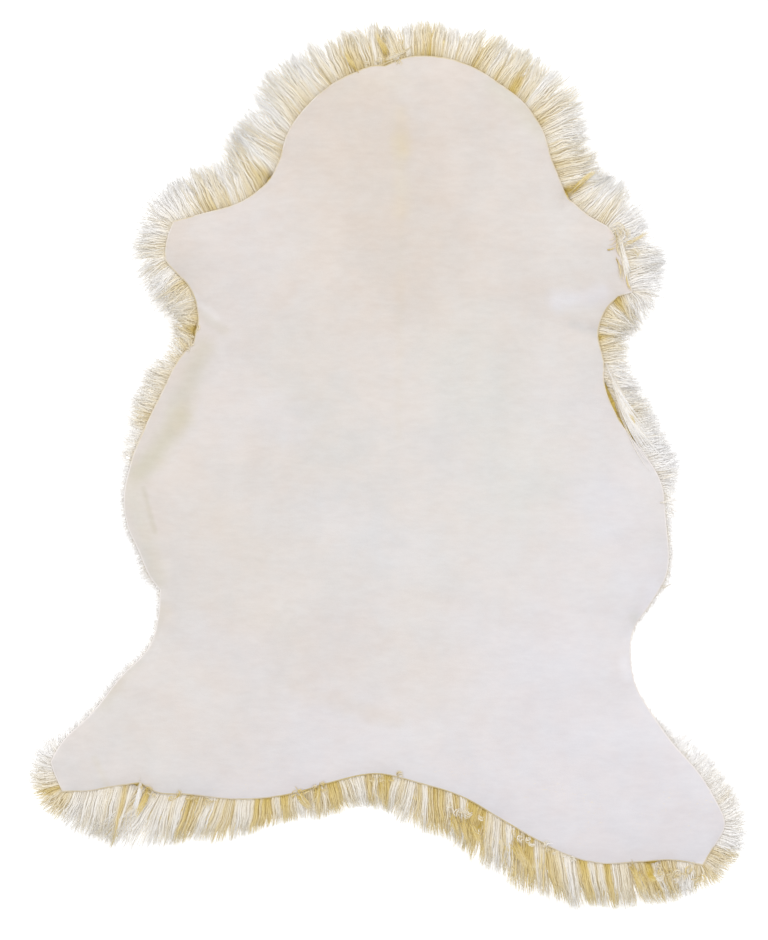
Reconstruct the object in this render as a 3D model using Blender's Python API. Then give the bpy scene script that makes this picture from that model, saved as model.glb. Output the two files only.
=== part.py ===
# A sheepskin rug laid wool side down: one leather hide over its fleece, whose wool shows as a
# fringe past the hide's edge. Metres, +Z up. The rug lies on z = 0 with its neck towards +Y,
# its hind legs towards -Y and the leather facing up.
import math
import random

import bpy
import numpy as np
from mathutils import Vector
from mathutils.geometry import delaunay_2d_cdt

MM = 0.001

HIDE_THICK = 2.0 * MM  # the dressed leather
HIDE_RISE = 42.0 * MM  # the leather's upper face, over the middle of the fleece
BOND_GAP = 0.3 * MM  # between the leather and the wool under it
EDGE_STEP = 11.0 * MM  # spacing of points along the hide's edge
MESH_STEP = 33.0 * MM  # spacing of points over the middle of the hide
TIP_HEIGHT = 7.0 * MM  # how thick the wool still is at the tips of the fringe

# How the leather bends down towards its edge: amount and the width it takes.
DROOP = 12.0 * MM
DROOP_WIDTH = 42.0 * MM

# The locks of the fringe.
LOCK_PITCH = 19.0 * MM  # along the tips
LOCK_UNEVEN = 0.48  # share of the pitch that widths differ by
LOCK_LENGTH_UNEVEN = 0.13  # share of the reach that lengths differ by
LOCK_CUT = (0.08, 0.27)  # least and most share of the reach that a gap between locks cuts in
LOCK_SHOULDER = (0.03, 0.11)  # the same, at the two sides of a lock's tip
LOCK_RELIEF = 2.8 * MM  # height of a lock's back over the gaps beside it
RELIEF_AT = 0.55  # how far along a lock that height stands, as a share of its length
SHORT_WOOL = 14.0 * MM  # locks shorter than this lie flat
LOCK_SEED = 11

# The outline, run by run and clockwise from the nape, in millimetres. Each row is a station:
# edge_x, edge_y, then wool_x, wool_y, which is how far past that point the wool reaches.
EDGE_RUNS = {
    "nape": [
        (-37, 442, -16, 41),
        (-17, 449, -8, 42),
        (-6, 448, -2, 43),
        (20, 458, 2, 40),
        (56, 458, 11, 36),
    ],
    "right_neck": [
        (90, 448, 22, 38),
        (124, 427, 31, 33),
        (150, 407, 41, 35),
        (169, 382, 46, 27),
        (182, 342, 41, 16),
    ],
    "right_shoulder": [
        (199, 300, 37, 34),
        (225, 278, 38, 40),
        (250, 262, 32, 18),
        (258, 238, 38, 14),
        (267, 207, 46, 10),
        (273, 193, 34, -9),
    ],
    "right_armpit": [
        (256, 188, 34, -16),
        (241, 171, 34, -14),
        (234, 142, 27, 0),
        (241, 114, 29, -5),
    ],
    "right_flank": [
        (240, 94, 38, -5),
        (253, 58, 46, 0),
        (270, 31, 43, -4),
        (287, 10, 35, -8),
        (304, -18, 16, -8),
        (310, -63, 9, 0),
        (311, -125, 6, -6),
        (292, -159, 5, -2),
    ],
    "right_waist": [
        (272, -192, 3, -1),
        (270, -209, 2, 0),
        (276, -249, 2, 0),
        (295, -282, 3, 2),
    ],
    "right_leg": [
        (317, -313, 9, 7),
        (349, -350, 14, 10),
        (366, -378, 21, 5),
        (377, -406, 21, -6),
        (362, -434, 26, -9),
        (352, -452, 9, -20),
    ],
    "right_foot_edge": [
        (320, -446, 8, -37),
        (281, -448, 0, -43),
        (236, -450, -2, -48),
        (202, -442, -10, -51),
        (169, -426, -14, -53),
        (124, -400, -17, -52),
        (81, -375, -14, -46),
        (34, -360, -9, -38),
    ],
    "tail_arch": [
        (-17, -349, 3, -30),
        (-67, -359, 0, -28),
        (-112, -372, -6, -27),
    ],
    "left_foot_edge": [
        (-174, -378, -6, -38),
        (-231, -372, -7, -52),
        (-264, -370, -16, -57),
        (-281, -359, -24, -70),
        (-315, -364, -20, -53),
        (-343, -369, -21, -29),
    ],
    "left_leg": [
        (-369, -369, -19, -9),
        (-380, -344, -21, -2),
        (-382, -335, -18, 5),
        (-371, -315, -4, 2),
        (-337, -282, -2, 2),
        (-304, -240, -2, 2),
        (-270, -204, -2, 1),
    ],
    "left_waist": [
        (-261, -170, -2, 0),
        (-259, -142, -3, 2),
        (-270, -128, -8, 0),
    ],
    "left_flank": [
        (-283, -97, -5, 0),
        (-295, -72, -5, 0),
        (-300, -40, -4, 0),
        (-292, 2, -8, 0),
        (-270, 55, -22, 6),
        (-253, 89, -27, 3),
        (-238, 119, -21, 0),
    ],
    "left_armpit": [
        (-222, 136, -17, 7),
        (-216, 167, -35, 1),
        (-227, 201, -44, -5),
    ],
    "left_shoulder": [
        (-253, 229, -31, 3),
        (-252, 252, -30, 4),
        (-244, 273, -24, 23),
        (-214, 281, -26, 35),
        (-163, 297, -33, 42),
    ],
    "left_neck": [
        (-135, 319, -38, 54),
        (-124, 344, -40, 50),
        (-116, 372, -42, 43),
        (-99, 397, -44, 41),
        (-60, 431, -26, 39),
    ],
}

# Stations where the cut edge turns sharply instead of curving, by run and row.
SHARP_TURNS = {
    ("nape", 2),
    ("right_shoulder", 0),
    ("right_shoulder", 5),
    ("right_armpit", 0),
    ("right_leg", 5),
    ("left_foot_edge", 3),
    ("left_leg", 0),
    ("left_leg", 2),
    ("left_waist", 1),
    ("left_armpit", 0),
    ("left_shoulder", 1),
    ("left_shoulder", 2),
    ("left_neck", 0),
}

# Soft folds of the hide, in millimetres: from_x, from_y, to_x, to_y, half_width, height.
# A positive height is a ridge and a negative one a trough.
FOLDS = {
    "left_flank_trough": (-212, 118, -286, -14, 20, -7.0),
    "left_edge_flap": (-274, -30, -262, -76, 11, -4.0),
    "left_flap_lip": (-292, -20, -272, -120, 9, 2.5),
    "left_armpit_ridge": (-212, 192, -178, 178, 11, 4.0),
    "right_armpit_crease": (192, 162, 232, 150, 10, -4.0),
    "right_shoulder_dart": (197, 298, 188, 280, 8, -5.0),
    "right_shoulder_roll": (250, 255, 270, 200, 11, 3.0),
    "right_neck_trough": (100, 362, 160, 388, 22, -5.0),
    "right_flank_curl": (244, 96, 284, 22, 10, 4.5),
    "right_waist_lift": (266, -222, 266, -236, 14, 6.0),
    "right_waist_dip": (276, -176, 282, -186, 13, -5.0),
    "belly_wrinkle": (-84, -38, 14, -66, 12, -1.8),
    "belly_wrinkle_low": (-60, -62, 34, -92, 12, -1.4),
    "left_leg_hollow": (-250, -165, -312, -262, 20, -5.0),
    "spine": (8, 400, -4, -300, 46, 2.2),
    "right_leg_swell": (250, -330, 310, -400, 55, 2.5),
    "left_leg_swell": (-250, -300, -320, -340, 50, 2.0),
}

# Long, low waves of the whole hide: length_x, length_y, start (turns), height in millimetres.
WAVES = [
    (410, 520, 0.10, 1.3),
    (-290, 330, 0.55, 0.9),
    (170, -240, 0.25, 0.5),
]

# node: colour, roughness
FINISHES = {
    "hide": ((0.790, 0.735, 0.700), 0.88),
    "fleece": ((0.860, 0.765, 0.590), 0.95),
}


def stations():
    """The outline's rows as arrays in metres, edge then wool reach, and which turn sharply."""
    rows = []
    sharp = []
    for run, table in EDGE_RUNS.items():
        for index, row in enumerate(table):
            rows.append(row)
            sharp.append((run, index) in SHARP_TURNS)
    return np.array(rows, float) * MM, sharp


def curve_through(rows, sharp, step):
    """Points about one step apart on the closed curve through the rows, with each row kept."""
    count = len(rows)
    slope = np.empty_like(rows)
    for i in range(count):
        before, after = rows[i - 1], rows[(i + 1) % count]
        near = np.linalg.norm(rows[i, :2] - before[:2])
        far = np.linalg.norm(after[:2] - rows[i, :2])
        slope[i] = (rows[i] - before) / near * far + (after - rows[i]) / far * near
        slope[i] /= near + far
    found = []
    for i in range(count):
        start, end = rows[i], rows[(i + 1) % count]
        length = np.linalg.norm(end[:2] - start[:2])
        leave = (end - start) / length if sharp[i] else slope[i]
        arrive = (end - start) / length if sharp[(i + 1) % count] else slope[(i + 1) % count]
        pieces = max(1, round(length / step))
        for k in range(pieces):
            t = k / pieces
            found.append(
                (2 * t**3 - 3 * t**2 + 1) * start
                + (t**3 - 2 * t**2 + t) * length * leave
                + (3 * t**2 - 2 * t**3) * end
                + (t**3 - t**2) * length * arrive
            )
    return np.array(found)


def walked(points):
    """The distance walked along a closed line at each of its points, and its whole length."""
    steps = np.linalg.norm(np.roll(points, -1, axis=0) - points, axis=1)
    return np.concatenate([[0.0], np.cumsum(steps)[:-1]]), float(steps.sum())


def at_walk(values, walk, whole, where):
    """The rows of values at a distance along the closed line."""
    ends = np.vstack([values, values[:1]])
    marks = np.append(walk, whole)
    return np.array([np.interp(where % whole, marks, column) for column in ends.T])


def wool_points(fine):
    """The fringe's tip line, and the points of its relief as (x, y, share of reach, rise)."""
    chance = random.Random(LOCK_SEED)
    walk, whole = walked(fine[:, :2] + fine[:, 2:])
    count = round(whole / LOCK_PITCH)
    widths = [1 + LOCK_UNEVEN * chance.uniform(-1, 1) for _ in range(count)]
    gaps = np.cumsum([0.0, *widths]) * whole / sum(widths)
    tips = []
    relief = []
    for first, last in zip(gaps[:-1], gaps[1:]):
        middle = first + (last - first) * chance.uniform(0.36, 0.64)
        length = 1 + LOCK_LENGTH_UNEVEN * chance.uniform(-1, 1)
        spots = (
            (first, 1 - chance.uniform(*LOCK_CUT), -1.0),
            (0.62 * first + 0.38 * middle, length - chance.uniform(*LOCK_SHOULDER), 0.3),
            (middle, length, 1.0),
            (0.38 * middle + 0.62 * last, length - chance.uniform(*LOCK_SHOULDER), 0.3),
        )
        for where, share, rise in spots:
            row = at_walk(fine, walk, whole, where)
            tips.append(row[:2] + row[2:] * share)
            if abs(rise) == 1 and np.hypot(row[2], row[3]) > SHORT_WOOL:
                share *= RELIEF_AT
                relief.append((*(row[:2] + row[2:] * share), share, rise))
    return np.array(tips), np.array(relief)


def inside(points, loop):
    """Which points lie inside a closed loop."""
    found = np.zeros(len(points), bool)
    for a, b in zip(loop, np.roll(loop, -1, axis=0)):
        crosses = (a[1] > points[:, 1]) != (b[1] > points[:, 1])
        rise = b[1] - a[1] if b[1] != a[1] else 1.0
        found ^= crosses & (points[:, 0] < a[0] + (points[:, 1] - a[1]) * (b[0] - a[0]) / rise)
    return found


def nearest_on(points, loop):
    """The distance from each point to a closed loop, and the loop point it is nearest to."""
    best = np.full(len(points), 9.0)
    which = np.zeros(len(points), int)
    following = np.roll(loop, -1, axis=0)
    for index, (a, b) in enumerate(zip(loop, following)):
        along = b - a
        share = np.clip((points - a) @ along / (along @ along), 0, 1)
        gap = np.linalg.norm(points - a - share[:, None] * along, axis=1)
        closer = gap < best
        best[closer] = gap[closer]
        which[closer] = (index + (share[closer] > 0.5)) % len(loop)
    return best, which


def inner_points(edge):
    """Points inside the hide: two rows that follow its edge, then an even grid."""
    ahead = np.roll(edge, -1, axis=0) - np.roll(edge, 1, axis=0)
    inward = np.stack([ahead[:, 1], -ahead[:, 0]], axis=1)
    inward /= np.linalg.norm(inward, axis=1)[:, None]
    kept = np.empty((0, 2))
    for depth, every, apart in ((12 * MM, 2, 13 * MM), (31 * MM, 3, 20 * MM)):
        for spot in (edge + inward * depth)[::every]:
            far_enough = nearest_on(spot[None], edge)[0][0] > 0.86 * depth
            if not far_enough or not inside(spot[None], edge)[0]:
                continue
            if len(kept) and np.linalg.norm(kept - spot, axis=1).min() < apart:
                continue
            kept = np.vstack([kept, spot])
    low, high = edge.min(axis=0), edge.max(axis=0)
    row_step = MESH_STEP * math.sqrt(0.75)
    for row in range(int((high[1] - low[1]) / row_step) + 1):
        for column in range(int((high[0] - low[0]) / MESH_STEP) + 1):
            spot = low + np.array([(column + 0.5 * (row % 2)) * MESH_STEP, row * row_step])
            if not inside(spot[None], edge)[0] or nearest_on(spot[None], edge)[0][0] < 45 * MM:
                continue
            if np.linalg.norm(kept - spot, axis=1).min() > 0.6 * MESH_STEP:
                kept = np.vstack([kept, spot])
    return kept


def hide_height(points, edge):
    """The leather's upper face over the given points."""
    depth = np.clip(nearest_on(points, edge)[0] / DROOP_WIDTH, 0, 1)
    height = HIDE_RISE - DROOP * (1 - depth) ** 2.2
    for from_x, from_y, to_x, to_y, half_width, rise in FOLDS.values():
        start = np.array([from_x, from_y]) * MM
        along = np.array([to_x, to_y]) * MM - start
        share = np.clip((points - start) @ along / (along @ along), 0, 1)
        gap = np.linalg.norm(points - start - share[:, None] * along, axis=1)
        height = height + rise * MM * np.exp(-((gap / (half_width * MM)) ** 2))
    for length_x, length_y, start, rise in WAVES:
        turns = points[:, 0] / (length_x * MM) + points[:, 1] / (length_y * MM) + start
        height = height + rise * MM * np.sin(2 * math.pi * turns)
    return height


def loop_edges(first, count):
    return [(first + k, first + (k + 1) % count) for k in range(count)]


def triangles(points, edges):
    """The plan's triangles, each counter-clockwise seen from above."""
    plan = delaunay_2d_cdt([Vector(p) for p in points], edges, [], 1, 1e-7)
    if len(plan[0]) != len(points):
        raise ValueError("two lines of the plan cross")
    order = [ids[0] for ids in plan[3]]
    found = []
    for face in plan[2]:
        a, b, c = (order[k] for k in face)
        turn = np.cross(points[b] - points[a], points[c] - points[a])
        found.append((a, b, c) if turn > 0 else (a, c, b))
    return found


def solid(name, points, faces):
    mesh = bpy.data.meshes.new(name)
    mesh.from_pydata([tuple(p) for p in points], [], faces)
    mesh.shade_smooth()
    mesh.set_sharp_from_angle(angle=math.radians(48))
    colour, roughness = FINISHES[name]
    material = bpy.data.materials.new(name)
    material.use_nodes = True
    shader = material.node_tree.nodes["Principled BSDF"]
    shader.inputs["Base Color"].default_value = (*colour, 1)
    shader.inputs["Roughness"].default_value = roughness
    shader.inputs["Metallic"].default_value = 0.0
    mesh.materials.append(material)
    made = bpy.data.objects.new(name, mesh)
    bpy.context.scene.collection.objects.link(made)
    return made


def rug():
    rows, sharp = stations()
    edge = curve_through(rows, sharp, EDGE_STEP)[:, :2]
    tips, relief = wool_points(curve_through(rows, sharp, 2 * MM))
    middle = (tips.min(axis=0) + tips.max(axis=0)) / 2
    inner = inner_points(edge)

    # One plan serves both solids, so that the wool follows the underside of the leather.
    plan = np.vstack([edge, inner, tips, relief[:, :2]])
    first_tip = len(edge) + len(inner)
    loops = loop_edges(0, len(edge)) + loop_edges(first_tip, len(tips))
    faces = triangles(plan, loops)
    centres = np.array([plan[list(face)].mean(axis=0) for face in faces])
    under_hide = inside(centres, edge)

    count = first_tip
    top = hide_height(plan[:count], edge)
    hide_faces = [face for face, under in zip(faces, under_hide) if under]
    hide_faces += [tuple(count + k for k in reversed(face)) for face in hide_faces]
    for a, b in loop_edges(0, len(edge)):
        hide_faces += [(a, b, count + b), (a, count + b, count + a)]
    upper = np.column_stack([plan[:count] - middle, top])
    lower = upper - (0, 0, HIDE_THICK)
    solid("hide", np.vstack([upper, lower]), hide_faces)

    # The fringe falls from the hide's edge to the tips, and its locks stand up along it.
    shares = np.concatenate([np.ones(len(tips)), relief[:, 2]])
    rises = np.concatenate([np.zeros(len(tips)), relief[:, 3]]) * LOCK_RELIEF
    start = top[nearest_on(plan[count:], edge)[1]] - HIDE_THICK - BOND_GAP
    fringe = start + (TIP_HEIGHT - start) * shares**1.7 + rises
    heights = np.concatenate([top - HIDE_THICK - BOND_GAP, fringe])
    fleece = [np.append(p - middle, z) for p, z in zip(plan, heights)]
    fleece_faces = list(faces)
    base = len(fleece)
    fleece += [np.append(p - middle, 0.0) for p in tips]
    for a, b in loop_edges(0, len(tips)):
        fleece_faces += [
            (first_tip + a, first_tip + b, base + b),
            (first_tip + a, base + b, base + a),
        ]
    floor = triangles(tips, loop_edges(0, len(tips)))
    fleece_faces += [tuple(base + k for k in reversed(face)) for face in floor]
    solid("fleece", np.array(fleece), fleece_faces)


for old in list(bpy.data.objects):
    bpy.data.objects.remove(old, do_unlink=True)
rug()
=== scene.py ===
import math
from contextlib import contextmanager
from types import SimpleNamespace

import bmesh
import bpy
import numpy as np
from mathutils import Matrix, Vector
from mathutils.bvhtree import BVHTree
from mathutils.kdtree import KDTree


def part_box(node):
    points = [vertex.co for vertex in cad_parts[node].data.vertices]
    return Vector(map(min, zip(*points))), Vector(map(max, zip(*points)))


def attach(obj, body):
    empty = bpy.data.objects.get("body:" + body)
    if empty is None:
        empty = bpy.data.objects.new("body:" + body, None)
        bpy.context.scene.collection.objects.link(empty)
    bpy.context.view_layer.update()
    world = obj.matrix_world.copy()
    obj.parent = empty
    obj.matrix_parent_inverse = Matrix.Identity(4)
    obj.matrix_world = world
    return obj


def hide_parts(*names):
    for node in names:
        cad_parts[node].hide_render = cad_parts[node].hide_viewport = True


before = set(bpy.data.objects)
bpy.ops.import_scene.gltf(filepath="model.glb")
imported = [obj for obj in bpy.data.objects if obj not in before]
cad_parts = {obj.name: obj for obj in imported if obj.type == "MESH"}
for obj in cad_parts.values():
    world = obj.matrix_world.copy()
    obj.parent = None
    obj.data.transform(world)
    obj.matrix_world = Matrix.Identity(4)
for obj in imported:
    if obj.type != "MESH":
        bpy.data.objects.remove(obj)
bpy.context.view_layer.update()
MM = 0.001

# The hide's leather.
LEATHER_THICK = 1.7 * MM
CUT_EDGE_WIDTH = 1.5 * MM  # the paler border that the cut leaves on the upper face
CUT_EDGE_DROP = 0.5 * MM
CUT_CORNER = 28  # degrees of turn past which the cut edge keeps a corner
EDGE_STEP = 1 * MM  # between the places that the script keeps along the cut edge
UPPER_FACE = 0.35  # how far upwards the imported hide's upper faces point at least
SHARP_CORNER = 50  # degrees past which a corner of the finished hide isn't shaded round

# Low waves in the leather: seed, their size across and their height. The last row's are
# there only within the given depth from the cut edge.
HIDE_SWELLS = ((5, 60 * MM, 0.35 * MM), (6, 26 * MM, 0.16 * MM))
EDGE_SWELL = (7, 38 * MM, 0.8 * MM)
EDGE_SWELL_DEPTH = 16 * MM

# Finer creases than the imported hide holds, in millimetres: from_x, from_y, to_x, to_y,
# half_width, height. A positive height is a ridge and a negative one a trough.
CREASES = {
    "left_flap_line": (-279, -22, -264, -78, 4.5, -1.6),
    "left_flap_line_low": (-264, -78, -258, -120, 5, -0.9),
    "left_flank_pull": (-262, 62, -214, 44, 8, 0.9),
    "left_flank_pull_low": (-282, 8, -228, 12, 9, 0.8),
    "left_armpit_fold": (-218, 190, -176, 174, 5, 1.6),
    "left_armpit_fold_under": (-216, 178, -186, 166, 5, -1.4),
    "right_armpit_fold": (196, 158, 236, 148, 5, -1.8),
    "right_armpit_fold_over": (196, 170, 232, 162, 6, 1.2),
    "right_dart": (199, 301, 186, 276, 4, -2.6),
    "right_dart_side": (206, 292, 196, 272, 5, 1.0),
    "right_shoulder_pucker": (236, 240, 258, 238, 4, -1.2),
    "neck_crease": (62, 352, 132, 380, 9, -1.2),
    "belly_line": (-96, -34, 22, -70, 7, -0.7),
    "belly_line_low": (-52, -84, 44, -104, 7, -0.6),
    "right_waist_turn": (262, -224, 268, -240, 8, 1.6),
    "left_leg_line": (-262, -178, -300, -244, 8, -1.2),
    "left_leg_line_low": (-300, -244, -344, -296, 8, -0.8),
    "right_leg_line": (236, -372, 318, -404, 12, -0.8),
    "tail_line": (-30, -300, -8, -344, 9, -0.7),
}

# How far the wool leans from square to the edge, in degrees, anticlockwise from above, at
# places along the edge: x, y in millimetres, then the lean.
WOOL_LEAN = {
    "nape": (0, 450, 0),
    "right_neck": (150, 400, 5),
    "right_shoulder_front": (225, 278, -7),
    "right_shoulder": (267, 207, -6),
    "right_armpit": (241, 171, 4),
    "right_flank": (253, 58, -22),
    "right_flank_low": (290, 5, -34),
    "right_leg": (349, -350, 0),
    "right_foot_corner": (350, -452, 16),
    "right_foot": (281, -448, 12),
    "right_foot_inner": (169, -426, 38),
    "tail_right": (81, -375, 24),
    "tail": (-17, -349, 2),
    "tail_left": (-112, -372, -12),
    "left_foot_inner": (-170, -377, -6),
    "left_foot": (-231, -372, -15),
    "left_foot_notch": (-281, -359, -24),
    "left_foot_end": (-318, -365, -30),
    "left_flank": (-270, 55, 9),
    "left_armpit": (-216, 167, -6),
    "left_shoulder": (-252, 252, 4),
    "left_shoulder_top": (-205, 283, 20),
    "neck_notch": (-135, 319, -14),
    "left_neck": (-116, 372, -20),
    "left_neck_top": (-60, 431, -2),
}

# How golden the wool is along the edge, from 0, nearly white, to 1, deep honey.
WOOL_TONE = {
    "nape_left": (-45, 452, 0.51),
    "nape": (-8, 470, 0.70),
    "nape_right": (62, 476, 0.54),
    "right_neck_top": (120, 450, 0.44),
    "right_neck": (186, 392, 0.39),
    "right_dart": (212, 312, 0.44),
    "right_shoulder_front": (248, 296, 0.27),
    "right_shoulder": (285, 240, 0.20),
    "right_shoulder_tip": (300, 200, 0.10),
    "right_armpit": (256, 150, 0.50),
    "right_flank": (262, 84, 0.28),
    "right_flank_low": (302, 22, 0.09),
    "right_belly": (314, -90, 0.08),
    "right_waist": (275, -210, 0.10),
    "right_leg": (345, -330, 0.00),
    "right_leg_tip": (392, -405, 0.02),
    "right_foot_corner": (356, -468, 0.42),
    "right_foot_end": (322, -466, 0.60),
    "right_foot": (262, -474, 0.36),
    "right_foot_middle": (205, -468, 0.44),
    "right_foot_inner": (140, -434, 0.68),
    "tail_right": (80, -398, 0.84),
    "tail_right_near": (34, -378, 0.66),
    "tail": (-16, -364, 0.90),
    "tail_left": (-70, -374, 0.86),
    "tail_left_far": (-130, -392, 0.74),
    "left_foot_inner": (-186, -404, 0.56),
    "left_foot": (-240, -404, 0.56),
    "left_foot_notch": (-276, -380, 0.62),
    "left_foot_end": (-318, -398, 0.52),
    "left_foot_corner": (-356, -382, 0.48),
    "left_leg_tip": (-398, -346, 0.02),
    "left_leg": (-330, -270, 0.04),
    "left_waist": (-265, -150, 0.10),
    "left_belly": (-300, -50, 0.08),
    "left_flank": (-284, 50, 0.32),
    "left_flank_top": (-250, 118, 0.36),
    "left_armpit": (-226, 160, 0.60),
    "left_shoulder_low": (-258, 205, 0.40),
    "left_shoulder": (-270, 250, 0.25),
    "left_shoulder_top": (-208, 300, 0.34),
    "neck_notch": (-142, 334, 0.38),
    "left_neck": (-138, 380, 0.30),
    "left_neck_top": (-84, 440, 0.34),
}

# How fluffy the wool is along the edge, from 0, combed into locks, to 1, loose.
WOOL_SOFT = {
    "nape": (0, 470, 0.05),
    "right_neck": (186, 392, 0.25),
    "right_dart": (212, 312, 0.3),
    "right_shoulder": (285, 240, 0.5),
    "right_armpit": (256, 150, 0.6),
    "right_flank": (262, 84, 0.6),
    "right_belly": (314, -90, 0.85),
    "right_leg": (345, -330, 1.0),
    "right_leg_tip": (392, -405, 0.85),
    "right_foot_corner": (352, -470, 0.4),
    "right_foot": (262, -474, 0.05),
    "tail": (-16, -364, 0.15),
    "left_foot": (-240, -404, 0.05),
    "left_foot_corner": (-356, -382, 0.3),
    "left_leg_tip": (-398, -346, 0.9),
    "left_leg": (-330, -270, 1.0),
    "left_flank": (-284, 50, 0.9),
    "left_armpit": (-226, 160, 0.9),
    "left_shoulder": (-270, 250, 0.7),
    "left_shoulder_top": (-208, 300, 0.2),
    "left_neck": (-138, 380, 0.35),
}

# Places where the locks part and the deep golden wool shows, its gold deepened as painted
# golden shade: x, y, radius in millimetres, depth.
PARTINGS = {
    "nape": (-10, 482, 13, 0.55),
    "nape_left": (-46, 458, 9, 0.7),
    "neck_notch": (-141, 326, 12, 0.8),
    "left_shoulder": (-207, 291, 11, 0.55),
    "left_armpit": (-204, 168, 15, 0.5),
    "left_armpit_low": (-212, 148, 10, 0.4),
    "right_neck": (142, 427, 13, 0.6),
    "right_neck_low": (172, 384, 10, 0.5),
    "right_dart": (206, 311, 12, 1.0),
    "right_shoulder": (262, 226, 14, 0.5),
    "right_armpit": (258, 184, 11, 0.6),
    "right_armpit_low": (236, 140, 11, 0.5),
    "right_flank": (262, 52, 15, 0.7),
    "left_foot_notch": (-277, -376, 17, 1.0),
    "tail_left": (-92, -368, 19, 0.7),
    "tail_right": (93, -402, 20, 0.8),
    "right_foot_inner": (150, -440, 12, 0.6),
    "right_foot": (292, -462, 12, 0.95),
    "right_foot_end": (330, -456, 12, 0.7),
}

# Where the wool is longer than its outline on the floor: x, y, the extra in millimetres.
LONGER_WOOL = {
    "tail": (-30, -350, 9),
    "tail_left": (-75, -360, 5),
    "left_neck": (-138, 400, 8),
    "left_neck_top": (-48, 452, 6),
    "nape": (20, 455, 2),
    "right_neck": (176, 400, 7),
    "right_shoulder": (262, 200, 4),
    "left_foot": (-231, -372, 5),
    "left_leg_tip": (-372, -318, 6),
    "right_leg_tip": (372, -412, 4),
    "right_foot": (232, -449, 5),
    "left_flank": (-296, 0, 3),
    "left_belly": (-292, -80, 3),
    "right_waist": (268, -230, 0),
    "right_belly": (312, -70, 1),
    "right_flank": (262, 52, 0),
}

# Where the wool pulls away from the cut edge and leaves a gap: x, y, radius, width in
# millimetres.
EDGE_GAPS = {
    "right_flank": (250, 72, 20, 5.5),
    "right_flank_low": (268, 42, 16, 4.5),
    "right_dart": (204, 307, 7, 6.0),
    "nape_left": (-45, 446, 6, 3.5),
    "neck_notch": (-138, 322, 8, 3.0),
    "left_foot_notch": (-281, -360, 7, 4.5),
    "right_foot": (296, -450, 8, 4.0),
    "left_armpit": (-218, 150, 9, 2.5),
}

# Locks that lie their own way, on the fringe or over the hide's edge: x, y in millimetres,
# heading in degrees from +X, length, how far it turns in degrees, width, strands and tone.
LAID_LOCKS = {
    "nape_curl": (17, 463, 216, 34, -26, 2.2, 12, 0.55),
    "nape_tuft": (-4, 464, 112, 22, 14, 6.0, 26, 0.95),
    "nape_wedge": (-39, 446, 124, 22, -6, 3.2, 20, 0.95),
    "right_shoulder_roll": (260, 250, -82, 46, 10, 6.0, 42, 0.16),
    "right_shoulder_line": (256, 252, -104, 26, 50, 1.2, 5, 0.65),
    "right_shoulder_line_low": (258, 226, -58, 30, -44, 1.2, 5, 0.70),
    "right_shoulder_line_out": (266, 214, -100, 24, 50, 1.4, 6, 0.75),
    "right_shoulder_loop": (256, 266, -10, 24, -170, 2.2, 6, 0.45),
    "right_shoulder_loop_up": (262, 256, 70, 24, 170, 2.6, 7, 0.45),
    "right_shoulder_loop_low": (256, 258, -40, 22, -150, 2.4, 6, 0.55),
    "right_shoulder_tuft": (268, 247, 24, 28, 16, 3.6, 16, 0.60),
    "right_shoulder_mark": (245, 240, 4, 9, 30, 1.2, 6, 0.85),
    "right_dart_fan": (207, 308, 46, 34, -8, 3.0, 32, 0.85),
    "right_flank_roll": (252, 90, -70, 86, 20, 5.0, 70, 0.06),
    "right_flank_line": (267, 62, -62, 24, 5, 1.8, 14, 0.70),
    "right_belly_tuft": (309, -16, 12, 22, 10, 3.2, 20, 0.06),
    "right_belly_tuft_low": (309, -43, 16, 20, -12, 3.0, 18, 0.06),
    "right_waist_tuft": (308, -139, 12, 16, 10, 2.6, 14, 0.06),
    "left_notch_roll": (-280, -361, -96, 30, -16, 4.6, 30, 0.02),
    "left_notch_gold": (-272, -370, -112, 30, -10, 6.0, 30, 0.95),
    "tail_left_knot": (-79, -365, -84, 22, -40, 6.0, 28, 0.95),
    "tail_left_fray": (-100, -372, -64, 22, 20, 8.0, 28, 0.90),
    "tail_gold": (-10, -358, -80, 24, -10, 8.0, 30, 0.90),
    "tail_right_ochre": (72, -396, -74, 22, 6, 7.0, 24, 1.0),
    "tail_right_ochre_mid": (82, -402, -70, 22, -8, 7.0, 24, 1.0),
    "tail_right_ochre_far": (93, -408, -66, 22, 4, 7.0, 24, 1.0),
    "right_foot_gold": (142, -428, -62, 32, -6, 9.0, 34, 0.90),
    "right_foot_wedge": (275, -456, -68, 30, 8, 8.0, 34, 0.95),
}

# Small curls strewn along the edge: from x, y to x, y in millimetres, how many, length, tone.
CURL_BANDS = {
    "nape": (-30, 452, 14, 457, 5, 10, 0.55),
    "right_shoulder": (262, 262, 276, 232, 5, 13, 0.40),
    "left_foot_notch": (-282, -362, -262, -374, 4, 12, 0.75),
    "left_foot": (-246, -376, -196, -380, 8, 11, 0.80),
    "tail_left": (-112, -374, -70, -362, 7, 10, 0.85),
    "tail": (-24, -354, 10, -352, 4, 9, 0.80),
    "tail_right": (66, -384, 104, -398, 6, 12, 0.42),
    "right_foot_inner": (148, -418, 182, -438, 8, 10, 0.35),
    "right_foot": (186, -441, 214, -447, 6, 10, 0.35),
    "right_foot_end": (296, -455, 346, -464, 11, 15, 0.70),
    "right_foot_end_pale": (300, -462, 340, -468, 4, 13, 0.20),
    "left_armpit": (-230, 128, -216, 160, 4, 10, 0.55),
}
CURL_TURN = (90, 250)  # degrees
CURL_WIDTH = 1.7 * MM
CURL_STRANDS = 6
CURL_STRAY = 1.2  # millimetres off the line that the curls are strewn along

# A lock that lies its own way: its strands, and how it stands on what is under it.
LAID_RINGS = 7
LAID_THICK = (0.26 * MM, 0.46 * MM)
LAID_NARROWS = 0.55  # of its width, towards the tip
LAID_CLEAR = 0.2 * MM
LAID_RISE = 1.4 * MM  # how far its middle stands over its sides

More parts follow.
